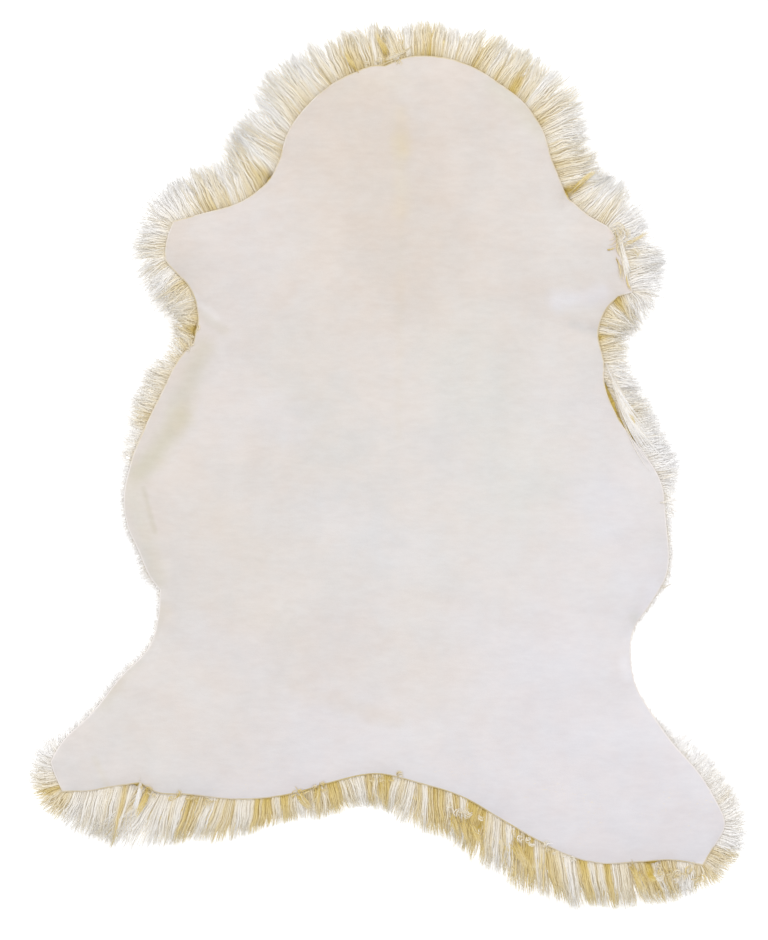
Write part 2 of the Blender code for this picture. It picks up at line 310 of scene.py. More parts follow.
# How far along the edge a row counts in each table, and where the feet begin.
LEAN_RADIUS = 44 * MM
TONE_RADIUS = 22 * MM
SOFT_RADIUS = 30 * MM
LONGER_RADIUS = 30 * MM
FOOT_LINE = -330 * MM
FOOT_FADE = 30 * MM

# The fringe's locks.
LOCK_WIDTH = (8.5 * MM, 17 * MM)
LOCK_OVERLAP = 1.1  # how far a lock's strands reach to each side, in halves of its width
LOCK_GAP = 0.72  # the same, where the gap between two locks begins
LOCK_TURN = 5  # degrees either way
LOCK_LENGTH = (0.90, 1.09)  # share of the wool's reach
LOCK_BEND = 0.07  # sideways, as a share of its length
LOCK_KNEE = 0.34  # of its length, where it bends
LOCK_PINCH = (0.10, 0.45)  # how far a lock draws together at its tip
LOCK_ROUNDING = 0.16  # how much shorter its outermost strands are
LOCK_DEPTH = 4.2 * MM  # from its top strands to its lowest, at the cut edge
FULL_LENGTH = 30 * MM  # from here on, wool humps, waves and draws together in full
FOOT_LOCKS = 1.45  # how much wider the locks are along the feet
FOOT_LENGTH = 1.04  # all locks' share of the wool's reach there
FOOT_CALM = {"turn": 0.35, "bend": 0.4, "pinch": 0.95, "rounding": 0.9}  # how much less there

# The fringe's strands. A pair goes from combed wool to fluff where it says so.
STRANDS_PER_METRE = 8150
STRAND_THICK = (0.42 * MM, 0.72 * MM)  # from its middle line to its corners
STRAND_RINGS = 5
STRAND_SIDES = 3
HANGING_SHARE = 0.30  # of the full number of strands hang where the wool hardly shows
CROWDED_REACH = 34 * MM  # the wool's reach where the strands have their full number
ROOT_INSIDE = (3 * MM, 12 * MM)  # how far in from the cut edge the strands start
LOOSE_SHARE = (0.28, 0.80)  # of the strands lie free, combed to fluff
LOOSE_TURN = (7, 18)  # degrees that a loose strand strays, combed to fluff
LOOSE_LAYER = 0.75  # how high a loose strand can lie in the wool
LOOSE_LENGTH = 0.95
SHORTER = (0.42, 0.80)  # how much shorter the shortest strands are, combed to fluff
SHORTER_POWER = (2.0, 0.9)  # the higher, the fewer of them, combed to fluff
PAST_REACH = 7 * MM  # how far the longest strands pass the wool's outline
LONGEST_WOOL = 88 * MM
LONG_WOOL = 62 * MM  # from here on, strands keep to the outline
WAVE_LENGTH = (20 * MM, 34 * MM)
WAVE_SIZE = 0.9 * MM
FRIZZ = 0.5 * MM
LOWEST_STRAND = 0.8 * MM

# Heights of the wool's upper surface, and how much a lock can stand over or under it.
HUMP_HEIGHT, HUMP_LIFT = 4.0 * MM, 2.0 * MM
TIP_HEIGHT, TIP_LIFT = 11.0 * MM, 3.5 * MM

# How golden a strand is beside the wool around it. A pair goes from the flanks to the feet.
STREAK_WIDTH = 3.2 * MM
STREAK_GOLD = (0.17, 0.50)
LOCK_GOLD = (0.06, 0.19)
# Painted golden shade on strands that lie low in the wool.
LOW_LAYER_GOLDEN_SHADE = (0.14, 0.30)
STRAND_GOLD = 0.05
# Painted golden shade in the gaps between locks, and in the partings over the deep wool's own
# gold.
GAP_GOLDEN_SHADE = 0.22
PARTING_GOLD_AND_SHADE = 0.6
FOOT_TIP_GOLD = 0.24  # more at the tips than at the roots, along the feet
FLANK_ROOT_GOLD = 0.28  # more at the roots than at the tips, along the flanks
LEAST_GOLD = 0.28  # share of the wool's tone that every strand keeps

# Fine fibres. Past short wool they grow from the edge itself.
FINE_FIBRES_PER_METRE = 2100
FINE_FIBRE_THICK = 0.15 * MM  # from its middle line to its corners
FINE_FIBRE_STRAY = 15  # degrees
FINE_FIBRE_START = (0.35, 0.80)  # share of the wool's reach
FINE_FIBRE_PAST = 6 * MM
FINE_FIBRE_CURL = 1.4 * MM
SHORT_WOOL = 12 * MM

# The dense wool under the locks.
CORE_REACH = 0.60  # of the wool's reach
CORE_GRAIN = 5.8 * MM
CORE_DEPTH = (5.6 * MM, 10.6 * MM)  # under the wool's surface, at the cut edge and at its rim
CORE_LOWEST = 2.2 * MM

# The curls that lie pressed against the floor.
UNDER_PITCH = 12.2 * MM
UNDER_LENGTH = (24 * MM, 36 * MM)
UNDER_THICK = 2.2 * MM
UNDER_MARGIN = 14 * MM
UNDER_WAVE = 1.5 * MM
UNDER_START = (5.5 * MM, 7.5 * MM)  # height of a curl's root over its tip
UNDER_FLOOR = 2.3 * MM

# The strands' own map. A strand's shade lies across it and its length runs up it, so strands
# of one shade share one place on it.
STRAND_MAP = "OFBake"
STRAND_ROW = 0.018  # how much of the map's width goes round a strand
DEEPEST_SHADE = 0.975  # leaves room for that width at the map's end

# The studio.
CAMERA_PLACE = (-6 * MM, -7 * MM, 3.4)
VIEW_HEIGHT = 1.0575  # metres that the camera sees from top to bottom, at the rug's height
RUG_HEIGHT = 30 * MM
SENSOR_WIDTH = 36.0
CLIP_END = 50
FLOOR_SIZE = 60.0
FLOOR_DROP = 0.2 * MM
FLOOR_GREY = (0.55, 0.55, 0.55, 1)
FLOOR_GLOW = 0.72
SKY_LIGHT = 0.88
WHITE = (1, 1, 1, 1)
# The lamps: place, size and power.
LAMPS = {
    "key": ((1.0, 4.6, 5.6), 3.0, 150.0),
    "fill": ((-3.4, -2.2, 5.2), 4.0, 40.0),
}

# The fringe's pieces, in the order in which the edge passes them, clockwise from the nape.
FRINGE_PIECES = ("fringe_right", "fringe_right_foot", "fringe_left_foot", "fringe_left")


# ---------------------------------------------------------------------------------------------
# Colours
# ---------------------------------------------------------------------------------------------


def tint(red, green, blue):
    """A colour given as it looks on a screen, from 0 to 255, as the light that it gives."""
    parts = [c / 255 for c in (red, green, blue)]
    return (*[c / 12.92 if c <= 0.04045 else ((c + 0.055) / 1.055) ** 2.4 for c in parts], 1.0)


HIDE_COOL = tint(216, 212, 215)
HIDE_MIDDLE = tint(213, 208, 205)
HIDE_WARM = tint(211, 202, 195)
CUT_PALE = tint(226, 220, 217)
CUT_WARM = tint(202, 184, 134)
FLECK = tint(238, 222, 184)
MOTTLE_DARK = tint(150, 148, 146)
MOTTLE_PALE = tint(222, 222, 222)
MOTTLE_WARM = tint(200, 184, 174)
MOTTLE_COOL = tint(178, 190, 198)
DEEP_GOLD = tint(200, 176, 96)
DEEP_HONEY = tint(224, 208, 154)
DEEP_CREAM = tint(234, 229, 220)
PALE_STRAND = [
    (0.0, tint(230, 225, 219)),
    (0.20, tint(235, 231, 226)),
    (0.55, tint(238, 236, 235)),
    (1.0, tint(240, 240, 242)),
]
GOLDEN_STRAND = [
    (0.0, tint(186, 160, 84)),
    (0.25, tint(206, 183, 112)),
    (0.65, tint(219, 199, 142)),
    (1.0, tint(226, 210, 161)),
]
STROKE_RAGGEDNESS = 1.1
WOOL_GLOW = 0.13  # painted glow: the wool gives off its own colour as light, standing in for the light that comes through it from strand to strand

# Casts, stains, painted shade and painted light on the suede: strength, colour, then from_x,
# from_y, to_x, to_y and half width in millimetres.
HIDE_STAINS_AND_SHADE = {
    # Painted light: paler over both waists, against the shade that their drooping slopes take.
    "left_waist_pale": (0.75, tint(221, 215, 211), -256, -118, -258, -168, 12),
    "right_waist_pale": (0.75, tint(221, 217, 220), 298, -140, 280, -196, 12),
    "left_middle_cool": (0.45, tint(214, 210, 211), -165, 255, -185, 70, 66),
    "low_left_warm": (0.35, tint(211, 202, 196), -262, -262, -186, -296, 50),
    "neck_warmth": (0.40, tint(209, 198, 187), -40, 400, 20, 225, 72),
    "right_neck_shade": (0.45, tint(204, 200, 186), 120, 424, 178, 372, 15),
    "nape_shade": (0.30, tint(206, 198, 186), -60, 420, 10, 432, 18),
    "middle_grey": (0.42, tint(207, 207, 202), 90, 120, 140, -20, 62),
    "middle_left_grey": (0.25, tint(208, 208, 205), -120, 130, -60, 20, 50),
    "belly_cool": (0.40, tint(212, 213, 217), -64, -58, 24, -104, 42),
    "left_cool": (0.28, tint(214, 214, 220), -132, 62, -110, 40, 26),
    "right_cool": (0.30, tint(213, 213, 222), 250, -40, 292, -150, 42),
    "right_leg_cool": (0.22, tint(214, 213, 220), 190, -230, 310, -370, 74),
    "left_warm": (0.35, tint(210, 200, 190), -196, -62, -150, -104, 30),
    "loin_warm": (0.30, tint(208, 198, 188), -180, -188, 46, -244, 56),
    "tail_warm": (0.24, tint(204, 192, 180), -104, -252, 8, -290, 11),
    "left_leg_cool": (0.30, tint(214, 212, 218), -208, -196, -150, -214, 34),
    "spine_streak": (0.22, tint(214, 200, 170), 12, 392, 14, 282, 11),
    "spine": (0.15, tint(208, 198, 182), 14, 280, 10, 30, 6),
    "stain": (0.36, tint(216, 202, 168), 13, 361, 15, 352, 12),
    # Painted shade in the left flank's trough, over its flap and along the flap's fold line.
    "trough": (0.44, tint(196, 190, 170), -210, 128, -238, 61, 15),
    "trough_low": (0.52, tint(192, 186, 160), -232, 52, -280, -10, 14),
    "flap": (0.45, tint(203, 199, 186), -293, -18, -260, -132, 13),
    "flap_line": (0.30, tint(190, 185, 164), -276, -28, -263, -76, 3.5),
    # Painted light on the left armpit's ridge and the right shoulder, painted shade in the folds
    # under them.
    "armpit_light": (0.55, tint(224, 220, 219), -220, 186, -196, 164, 7),
    "armpit_shade": (0.40, tint(198, 192, 180), -214, 170, -186, 150, 6),
    "right_shoulder_light": (0.55, tint(219, 218, 224), 190, 182, 238, 190, 13),
    "right_armpit_shade": (0.40, tint(196, 196, 196), 206, 156, 242, 146, 6),
    "right_shoulder_rose": (0.45, tint(220, 203, 196), 252, 262, 274, 196, 8),
    # Painted shade along the left leg's border and in a small dent at the right waist, and painted
    # light on the waist's turned-up lip.
    "left_leg_shade": (0.48, tint(202, 196, 184), -258, -164, -320, -266, 13),
    "waist_spot": (0.45, tint(200, 198, 192), 276, -172, 280, -184, 7),
    "waist_light": (0.50, tint(226, 225, 230), 264, -222, 268, -236, 8),
    "left_foot_line": (0.35, tint(212, 204, 190), -330, -330, -318, -360, 5),
}


# ---------------------------------------------------------------------------------------------
# Node trees
# ---------------------------------------------------------------------------------------------


class Tree:
    """A node tree with short ways to add and join nodes."""

    def __init__(self, tree):
        self.nodes, self.links = tree.nodes, tree.links
        self.column = 0

    def add(self, kind, inputs=None, **settings):
        node = self.nodes.new(kind)
        node.location = (self.column * 190, -120 * (self.column % 3))
        self.column += 1
        for name, value in settings.items():
            setattr(node, name, value)
        for name, value in (inputs or {}).items():
            self.put(node.inputs[name], value)
        return node

    def put(self, socket, value):
        if isinstance(value, bpy.types.NodeSocket):
            self.links.new(value, socket)
        else:
            socket.default_value = value

    def maths(self, operation, a, b, clamp=False):
        settings = {"operation": operation, "use_clamp": clamp}
        return self.add("ShaderNodeMath", {0: a, 1: b}, **settings).outputs[0]

    def times(self, a, b):
        return self.maths("MULTIPLY", a, b)

    def plus(self, a, b, clamp=False):
        return self.maths("ADD", a, b, clamp)

    def vector(self, operation, a, b=None, scale=None):
        """A vector sum, whose outputs are "Vector", or "Value" for a length or a product."""
        given = {0: a, 1: b, "Scale": scale}
        inputs = {name: value for name, value in given.items() if value is not None}
        return self.add("ShaderNodeVectorMath", inputs, operation=operation).outputs

    def combined(self, x, y=0.0):
        inputs = {"X": x, "Y": y, "Z": 0.0}
        return self.add("ShaderNodeCombineXYZ", inputs).outputs[0]

    def scaled(self, place, scale):
        """The place with its axes scaled, for a pattern that is longer one way."""
        return self.add("ShaderNodeMapping", {"Vector": place, "Scale": scale}).outputs[0]

    def blend(self, share, a, b, mode="MIX"):
        node = self.add("ShaderNodeMix", data_type="RGBA", blend_type=mode)
        self.put(node.inputs[0], share)
        self.put(node.inputs[6], a)
        self.put(node.inputs[7], b)
        return node.outputs[2]

    def ramp(self, share, stops):
        node = self.add("ShaderNodeValToRGB", {"Fac": share})
        while len(node.color_ramp.elements) < len(stops):
            node.color_ramp.elements.new(0.5)
        for element, (place, colour) in zip(node.color_ramp.elements, stops):
            element.position = place
            element.color = colour
        return node.outputs["Color"]

    def stretch(self, value, low, high):
        """The value's range from low to high, eased into 0 to 1."""
        inputs = {"Value": value, "From Min": low, "From Max": high}
        node = self.add("ShaderNodeMapRange", inputs, interpolation_type="SMOOTHSTEP")
        return node.outputs["Result"]

    def noise(self, place, scale, detail=3.0, rough=0.55):
        inputs = {"Vector": place, "Scale": scale, "Detail": detail, "Roughness": rough}
        return self.add("ShaderNodeTexNoise", inputs).outputs["Fac"]

    def clouds(self, place, scale, detail, rough, spread):
        """Patches from 0 to 1. The smaller the spread, the harder their edges."""
        return self.stretch(self.noise(place, scale, detail, rough), 0.5 - spread, 0.5 + spread)

    def mottled(self, share, colour, patches, dark, pale):
        return self.blend(share, colour, self.blend(patches, dark, pale), "SOFT_LIGHT")

    def bump(self, height, strength, distance):
        inputs = {"Height": height, "Strength": strength, "Distance": distance}
        return self.add("ShaderNodeBump", inputs).outputs["Normal"]

    def object_place(self):
        return self.add("ShaderNodeTexCoord").outputs["Object"]

    def golden(self):
        return self.add("ShaderNodeAttribute", attribute_name="golden").outputs["Fac"]


def shader_group(name, inputs, outputs):
    """A shader node group with these named sockets, and its tree, input node and output node."""
    group = bpy.data.node_groups.new(name, "ShaderNodeTree")
    for label, kind, value in inputs:
        socket = group.interface.new_socket(label, in_out="INPUT", socket_type=kind)
        if value is not None:
            socket.default_value = value
    for label, kind in outputs:
        group.interface.new_socket(label, in_out="OUTPUT", socket_type=kind)
    tree = Tree(group)
    return group, tree, tree.add("NodeGroupInput"), tree.add("NodeGroupOutput")


def material(name, roughness, **values):
    """A plain, dull material. values are its shader's other settings, with _ for a space."""
    made = bpy.data.materials.new(name)
    made.use_nodes = True
    tree = Tree(made.node_tree)
    shader = tree.nodes["Principled BSDF"]
    values = {"Roughness": roughness, "Metallic": 0.0, "Specular_IOR_Level": 0.25, **values}
    for socket, value in values.items():
        shader.inputs[socket.replace("_", " ")].default_value = value
    return made, tree, shader


# ---------------------------------------------------------------------------------------------
# Finishes
# ---------------------------------------------------------------------------------------------


def stroke_group():
    """A soft stroke on the hide: 1 along the line between two places and 0 past its width."""
    group, tree, given, result = shader_group(
        "soft_stroke",
        [
            ("Place", "NodeSocketVector", None),
            ("From", "NodeSocketVector", (0, 0, 0)),
            ("To", "NodeSocketVector", (1, 0, 0)),
            ("Half Width", "NodeSocketFloat", 0.02),
            ("Raggedness", "NodeSocketFloat", 0.5),
        ],
        [("Mask", "NodeSocketFloat")],
    )
    place, start, end, half_width, raggedness = list(given.outputs)[:5]
    off = tree.vector("SUBTRACT", place, start)["Vector"]
    axes = tree.add("ShaderNodeSeparateXYZ", {"Vector": off}).outputs
    off = tree.combined(axes["X"], axes["Y"])
    line = tree.vector("SUBTRACT", end, start)["Vector"]
    walked = tree.vector("DOT_PRODUCT", off, line)["Value"]
    whole = tree.vector("DOT_PRODUCT", line, line)["Value"]
    share = tree.maths("DIVIDE", walked, whole, clamp=True)
    nearest = tree.vector("SCALE", line, scale=share)["Vector"]
    away = tree.vector("SUBTRACT", off, nearest)["Vector"]
    gap = tree.maths("DIVIDE", tree.vector("LENGTH", away)["Value"], half_width)
    ragged = tree.maths("SUBTRACT", tree.noise(place, 38.0, 4.0), 0.5)
    moved = tree.plus(gap, tree.times(ragged, raggedness))
    tree.put(result.inputs["Mask"], tree.stretch(moved, 1.5, 0.0))
    return group


def nap_group():
    """The suede's nap: brushed fibre height, and the shade that its lie gives."""
    group, tree, given, result = shader_group(
        "suede_nap",
        [("Place", "NodeSocketVector", None), ("Fibre Size", "NodeSocketFloat", 1.0)],
        [("Height", "NodeSocketFloat"), ("Shade", "NodeSocketFloat")],
    )
    across = tree.scaled(given.outputs["Place"], (0.55, 1.5, 1.0))
    sized = tree.vector("SCALE", across, scale=given.outputs["Fibre Size"])["Vector"]
    fine = tree.noise(sized, 900.0, 5.0, 0.7)
    brushed = tree.noise(sized, 130.0, 4.0, 0.6)
    height = tree.plus(tree.times(fine, 0.55), tree.times(brushed, 0.45))
    shade = tree.plus(tree.times(brushed, 0.6), tree.times(fine, 0.4))
    tree.put(result.inputs["Height"], height)
    tree.put(result.inputs["Shade"], shade)
    return group


def brushed_up(tree, shader, nap, place, colour, share, strength, depth):
    """The colour with the suede's nap over it. The nap's fibres go to the shader as a bump."""
    fibres = tree.add("ShaderNodeGroup", {"Place": place}, node_tree=nap).outputs
    tree.put(shader.inputs["Normal"], tree.bump(fibres["Height"], strength, depth))
    lie = tree.stretch(fibres["Shade"], 0.30, 0.70)
    return tree.mottled(share, colour, lie, MOTTLE_DARK, MOTTLE_PALE)


def stained_and_shaded(tree, stroke, place, colour):
    """The colour with the hide's casts, stains, painted shade and painted light over it."""
    # The rows' colours are casts and stains, and painted shade and painted light.
    for strength, stain, from_x, from_y, to_x, to_y, half_width in HIDE_STAINS_AND_SHADE.values():
        inputs = {
            "Place": place,
            "From": (from_x * MM, from_y * MM, 0),
            "To": (to_x * MM, to_y * MM, 0),
            "Half Width": half_width * MM,
            "Raggedness": STROKE_RAGGEDNESS,
        }
        mask = tree.add("ShaderNodeGroup", inputs, node_tree=stroke).outputs["Mask"]
        colour = tree.blend(tree.times(mask, strength), colour, stain)
    return colour


def suede(nap, stroke):
    """Cream suede: warm over the neck and spine, cooler over the right haunch, softly mottled,
    with painted shade in its troughs and folds and painted light on its ridges and waists.
    """
    made, tree, shader = material(
        "suede", 0.93, Sheen_Weight=0.12, Sheen_Roughness=0.5, Sheen_Tint=tint(255, 250, 246)
    )
    place = tree.object_place()
    axes = tree.add("ShaderNodeSeparateXYZ", {"Vector": place}).outputs

    # The cast from the warm neck to the cool haunches.
    slant = tree.plus(tree.times(axes["Y"], 0.9), tree.times(axes["X"], -0.75))
    drift = tree.times(tree.maths("SUBTRACT", tree.noise(place, 4.5, 3.0), 0.5), 0.6)
    cast = tree.stretch(tree.plus(slant, drift), -0.50, 0.46)
    colour = tree.ramp(cast, [(0.0, HIDE_COOL), (0.45, HIDE_MIDDLE), (1.0, HIDE_WARM)])
    # Casts and stains, with painted shade and painted light from the same table.
    colour = stained_and_shaded(tree, stroke, place, colour)

    # Soft warm and cool mottling, paler and darker clouds, and faint streaks across.
    warmth = tree.clouds(place, 24.0, 4.0, 0.6, 0.16)
    colour = tree.mottled(0.22, colour, warmth, MOTTLE_COOL, MOTTLE_WARM)
    clouds = tree.clouds(place, 11.0, 4.0, 0.6, 0.18)
    colour = tree.mottled(0.16, colour, clouds, MOTTLE_DARK, MOTTLE_PALE)
    streaks = tree.clouds(tree.scaled(place, (22.0, 60.0, 22.0)), 1.0, 5.0, 0.65, 0.20)
    colour = tree.mottled(0.07, colour, streaks, MOTTLE_DARK, MOTTLE_PALE)
    colour = brushed_up(tree, shader, nap, place, colour, 0.20, 0.5, 0.6 * MM)

    # Loose pale and golden fibres caught in the nap near the feet.
    low = tree.stretch(axes["Y"], -0.29, -0.40)
    specks = tree.noise(tree.scaled(place, (230.0, 420.0, 230.0)), 1.0, 3.0, 0.6)
    patchy = tree.stretch(tree.noise(place, 17.0, 2.0), 0.50, 0.66)
    share = tree.times(tree.times(tree.stretch(specks, 0.60, 0.72), low), patchy)
    tree.put(shader.inputs["Base Color"], tree.blend(tree.times(share, 0.55), colour, FLECK))
    return made


def cut_edge(nap):
    """The bare leather of the cut, golden where its "golden" value says, as the wool beside it is.
    """
    made, tree, shader = material("cut_edge", 0.85)
    place, golden = tree.object_place(), tree.golden()
    tufts = tree.maths("SUBTRACT", tree.noise(place, 60.0, 4.0, 0.6), 0.5)
    gilt = tree.plus(tree.times(golden, 1.15), tree.times(tufts, 1.6), clamp=True)
    share = tree.times(gilt, tree.stretch(golden, 0.06, 0.30))
    colour = tree.blend(share, CUT_PALE, CUT_WARM)
    colour = brushed_up(tree, shader, nap, place, colour, 0.35, 0.4, 0.5 * MM)
    tree.put(shader.inputs["Base Color"], colour)
    return made


def strand_colour_group():
    """A strand's colour from its own map: along it from root to tip, across it by its shade."""
    group, tree, given, result = shader_group(
        "wool_colour", [("Map", "NodeSocketVector", None)], [("Color", "NodeSocketColor")]
    )
    axes = tree.add("ShaderNodeSeparateXYZ", {"Vector": given.outputs["Map"]}).outputs
    shade, along = axes["X"], axes["Y"]
    faded = tree.maths("POWER", shade, tree.plus(1.0, tree.times(along, 0.2)))
    colour = tree.blend(faded, tree.ramp(along, PALE_STRAND), tree.ramp(along, GOLDEN_STRAND))
    uneven = tree.clouds(tree.combined(shade), 70.0, 2.0, 0.55, 0.2)
    colour = tree.mottled(0.40, colour, uneven, MOTTLE_DARK, MOTTLE_PALE)
    tree.put(result.inputs["Color"], colour)
    return group


def with_painted_glow(tree, shader, colour, glow):
    """Give the shader the wool's colour, and a painted glow of that colour, standing in for
    the light that comes through the wool.
    """
    tree.put(shader.inputs["Base Color"], colour)
    tree.put(shader.inputs["Emission Color"], colour)
    shader.inputs["Emission Strength"].default_value = glow


def strand_wool():
    made, tree, shader = material("lock_wool", 0.82)
    own_map = tree.add("ShaderNodeUVMap", uv_map=STRAND_MAP).outputs["UV"]
    colours = tree.add("ShaderNodeGroup", {"Map": own_map}, node_tree=strand_colour_group())
    # The strands' colour, and a painted glow of it.
    with_painted_glow(tree, shader, colours.outputs["Color"], WOOL_GLOW)
    return made


def deep_wool():
    """The dense wool under the locks, golden where its own "golden" value says, with a painted
    glow of its colour.
    """
    made, tree, shader = material("deep_wool", 0.95)
    place, golden = tree.object_place(), tree.golden()
    tufts = tree.maths("SUBTRACT", tree.noise(place, 60.0, 4.0, 0.6), 0.5)
    share = tree.plus(golden, tree.times(tufts, tree.plus(golden, 0.15)), clamp=True)
    colour = tree.ramp(share, [(0.0, DEEP_CREAM), (0.55, DEEP_HONEY), (1.0, DEEP_GOLD)])
    curls = tree.clouds(place, 170.0, 5.0, 0.65, 0.18)
    colour = tree.mottled(0.8, colour, curls, MOTTLE_DARK, MOTTLE_PALE)
    with_painted_glow(tree, shader, colour, 1.2 * WOOL_GLOW)
    fluff = tree.noise(place, 320.0, 6.0, 0.7)
    tree.put(shader.inputs["Normal"], tree.bump(fluff, 0.8, 1.5 * MM))
    return made


# ---------------------------------------------------------------------------------------------
# Meshes and lines
# ---------------------------------------------------------------------------------------------


def triangle_object(name, points, triangles, finish):
    mesh = bpy.data.meshes.new(name)
    mesh.vertices.add(len(points))
    mesh.vertices.foreach_set("co", np.asarray(points, np.float32).ravel())
    mesh.loops.add(triangles.size)
    mesh.loops.foreach_set("vertex_index", triangles.astype(np.int32).ravel())
    mesh.polygons.add(len(triangles))
    mesh.polygons.foreach_set("loop_start", 3 * np.arange(len(triangles), dtype=np.int32))
    mesh.polygons.foreach_set("loop_total", np.full(len(triangles), 3, np.int32))
    mesh.update(calc_edges=True)
    mesh.validate()
    mesh.materials.append(finish)
    made = bpy.data.objects.new(name, mesh)
    bpy.context.scene.collection.objects.link(made)
    return made


@contextmanager
def opened(made):
    """The object's mesh opened for editing, and written back afterwards."""
    work = bmesh.new()
    work.from_mesh(made.data)
    yield work
    work.to_mesh(made.data)
    work.free()


def merged_copy(node, name):
    """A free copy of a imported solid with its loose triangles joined."""
    made = bpy.data.objects.new(name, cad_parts[node].data.copy())
    made.data.name = name
    bpy.context.scene.collection.objects.link(made)
    with opened(made) as work:
        bmesh.ops.remove_doubles(work, verts=work.verts, dist=0.01 * MM)
    made.data.materials.clear()
    return made


def apply_modifier(made, name, kind, **settings):
    bpy.ops.object.select_all(action="DESELECT")
    bpy.context.view_layer.objects.active = made
    made.select_set(True)
    modifier = made.modifiers.new(name, kind)
    for key, value in settings.items():
        setattr(modifier, key, value)
    bpy.ops.object.modifier_apply(modifier=name)
    made.select_set(False)


def points_of(mesh):
    found = np.empty(len(mesh.vertices) * 3, np.float32)
    mesh.vertices.foreach_get("co", found)
    return found.reshape(-1, 3).astype(float)


def set_points(mesh, points):
    mesh.vertices.foreach_set("co", np.asarray(points, np.float32).ravel())
    mesh.update()


def set_golden(made, values):
    """Keep how golden each point is with the mesh, where its finish reads it."""
    attribute = made.data.attributes.new("golden", "FLOAT", "POINT")
    attribute.data.foreach_set("value", values.astype(np.float32))


def between(pair, share):
    return pair[0] + (pair[1] - pair[0]) * share


def bell(distance, radius):
    """1 at no distance, and near 0 from twice the radius on."""
    return np.exp(-((distance / radius) ** 2))


def turned(ways, angles):
    cos, sin = np.cos(angles), np.sin(angles)
    x, y = ways[:, 0], ways[:, 1]
    return np.stack([x * cos - y * sin, x * sin + y * cos], 1)


def crosswise(ways):
    return np.stack([-ways[:, 1], ways[:, 0]], 1)


def loop_of(edges):
    """The points of the closed loop that these mesh edges make, in order, by their number."""
    beside = {}
    for a, b in ([v.index for v in e.verts] for e in edges):
        beside.setdefault(a, []).append(b)
        beside.setdefault(b, []).append(a)
    first = min(beside)
    loop = [first]
    before, now = first, beside[first][0]
    while now != first:
        loop.append(now)
        ahead = beside[now]
        before, now = now, ahead[0] if ahead[0] != before else ahead[1]
    return loop


def clockwise(line):
    """The closed line, running clockwise seen from above."""
    x, y = line[:, 0], line[:, 1]
    turned_left = (x * np.roll(y, -1) - np.roll(x, -1) * y).sum() > 0
    return line[::-1] if turned_left else line


def evenly(line, step):
    """The closed line again, with points one even step apart, and its length."""
    ends = np.vstack([line, line[:1]])
    walk = np.concatenate([[0], np.cumsum(np.linalg.norm(np.diff(ends[:, :2], axis=0), axis=1))])
    count = int(walk[-1] / step)
    marks = np.arange(count) * walk[-1] / count
    return np.stack([np.interp(marks, walk, column) for column in ends.T], 1), walk[-1]


def eased(values, reach):
    """Values along the closed edge, evened out over a number of places each way."""
    offsets = np.arange(-3 * reach, 3 * reach + 1)
    weights = np.exp(-0.5 * (offsets / reach) ** 2)
    weights /= weights.sum()
    return sum(w * np.roll(values, -o, axis=0) for o, w in zip(offsets, weights))


def near_line(points, line):
    """Each point's distance from the closed line, seen from above, and the nearest place on it."""
    tree = KDTree(len(line))
    for index, place in enumerate(line):
        tree.insert((place[0], place[1], 0), index)
    tree.balance()
    found = [tree.find((p[0], p[1], 0))[1:] for p in points]
    return np.array([f[1] for f in found]), np.array([f[0] for f in found])


def inside_line(points, line):
    """Whether each point lies inside the closed line, seen from above."""
    found = np.zeros(len(points), bool)
    for a, b in zip(line, np.roll(line, -1, axis=0)):
        crosses = (a[1] > points[:, 1]) != (b[1] > points[:, 1])
        rise = b[1] - a[1] if b[1] != a[1] else 1.0
        found ^= crosses & (points[:, 0] < a[0] + (points[:, 1] - a[1]) * (b[0] - a[0]) / rise)
    return found


def swell(points, seed, size):
    """Smooth random height over the plan, about -1 to 1, with bumps of about that size."""
    waves, peak = 14, 4.2  # how many waves are added up, and about how high they reach
    chance = np.random.default_rng(seed)
    total = np.zeros(len(points))
    for _ in range(waves):
        angle = chance.uniform(0, 2 * math.pi)
        length = size * chance.uniform(0.7, 1.6)
        way = np.array([math.cos(angle), math.sin(angle)]) / length
        total += np.sin(2 * math.pi * (points[:, :2] @ way + chance.random()))
    return total / peak


# ---------------------------------------------------------------------------------------------
# The hide
# ---------------------------------------------------------------------------------------------


def upper_sheet(name):
    """The hide's upper face alone, as an open sheet with its outer corners marked."""
    made = merged_copy("hide", name)
    with opened(made) as work:
        work.normal_update()
        gone = [f for f in work.faces if f.normal.z < UPPER_FACE]
        bmesh.ops.delete(work, geom=gone, context="FACES")
        keep = work.verts.layers.float.new("crease_vert")
        for vertex in work.verts:
            sides = [e for e in vertex.link_edges if e.is_boundary]
            if len(sides) == 2:
                a, b = (e.other_vert(vertex).co.xy - vertex.co.xy for e in sides)
                if 180 - math.degrees(a.angle(b)) > CUT_CORNER:
                    vertex[keep] = 1.0
    return made


def cut_line(made):
    """The open sheet's outline, clockwise."""
    with opened(made) as work:
        loop = loop_of([e for e in work.edges if e.is_boundary])
    return clockwise(points_of(made.data)[loop])


def wool_line():
    """The outline of the wool where it lies on the floor, clockwise."""
    made = merged_copy("fleece", "wool_outline")
    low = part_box("fleece")[0].z + 0.1 * MM
    with opened(made) as work:
        work.normal_update()
        flat = {f for f in work.faces if all(v.co.z < low for v in f.verts)}
        loop = loop_of([e for e in work.edges if sum(f in flat for f in e.link_faces) == 1])
    found = clockwise(points_of(made.data)[loop])
    bpy.data.objects.remove(made)
    return found


def crease_height(points):
    height = np.zeros(len(points))
    for from_x, from_y, to_x, to_y, half_width, rise in CREASES.values():
        start = np.array([from_x, from_y]) * MM
        along = np.array([to_x, to_y]) * MM - start
        share = (points[:, :2] - start) @ along / (along @ along)
        held = np.clip(share, 0, 1)
        gap = np.linalg.norm(points[:, :2] - start - held[:, None] * along, axis=1)
        fade = 0.35 + 0.65 * np.sin(math.pi * np.clip(held, 0.02, 0.98))
        height += rise * MM * fade * bell(gap, half_width * MM)
    return height


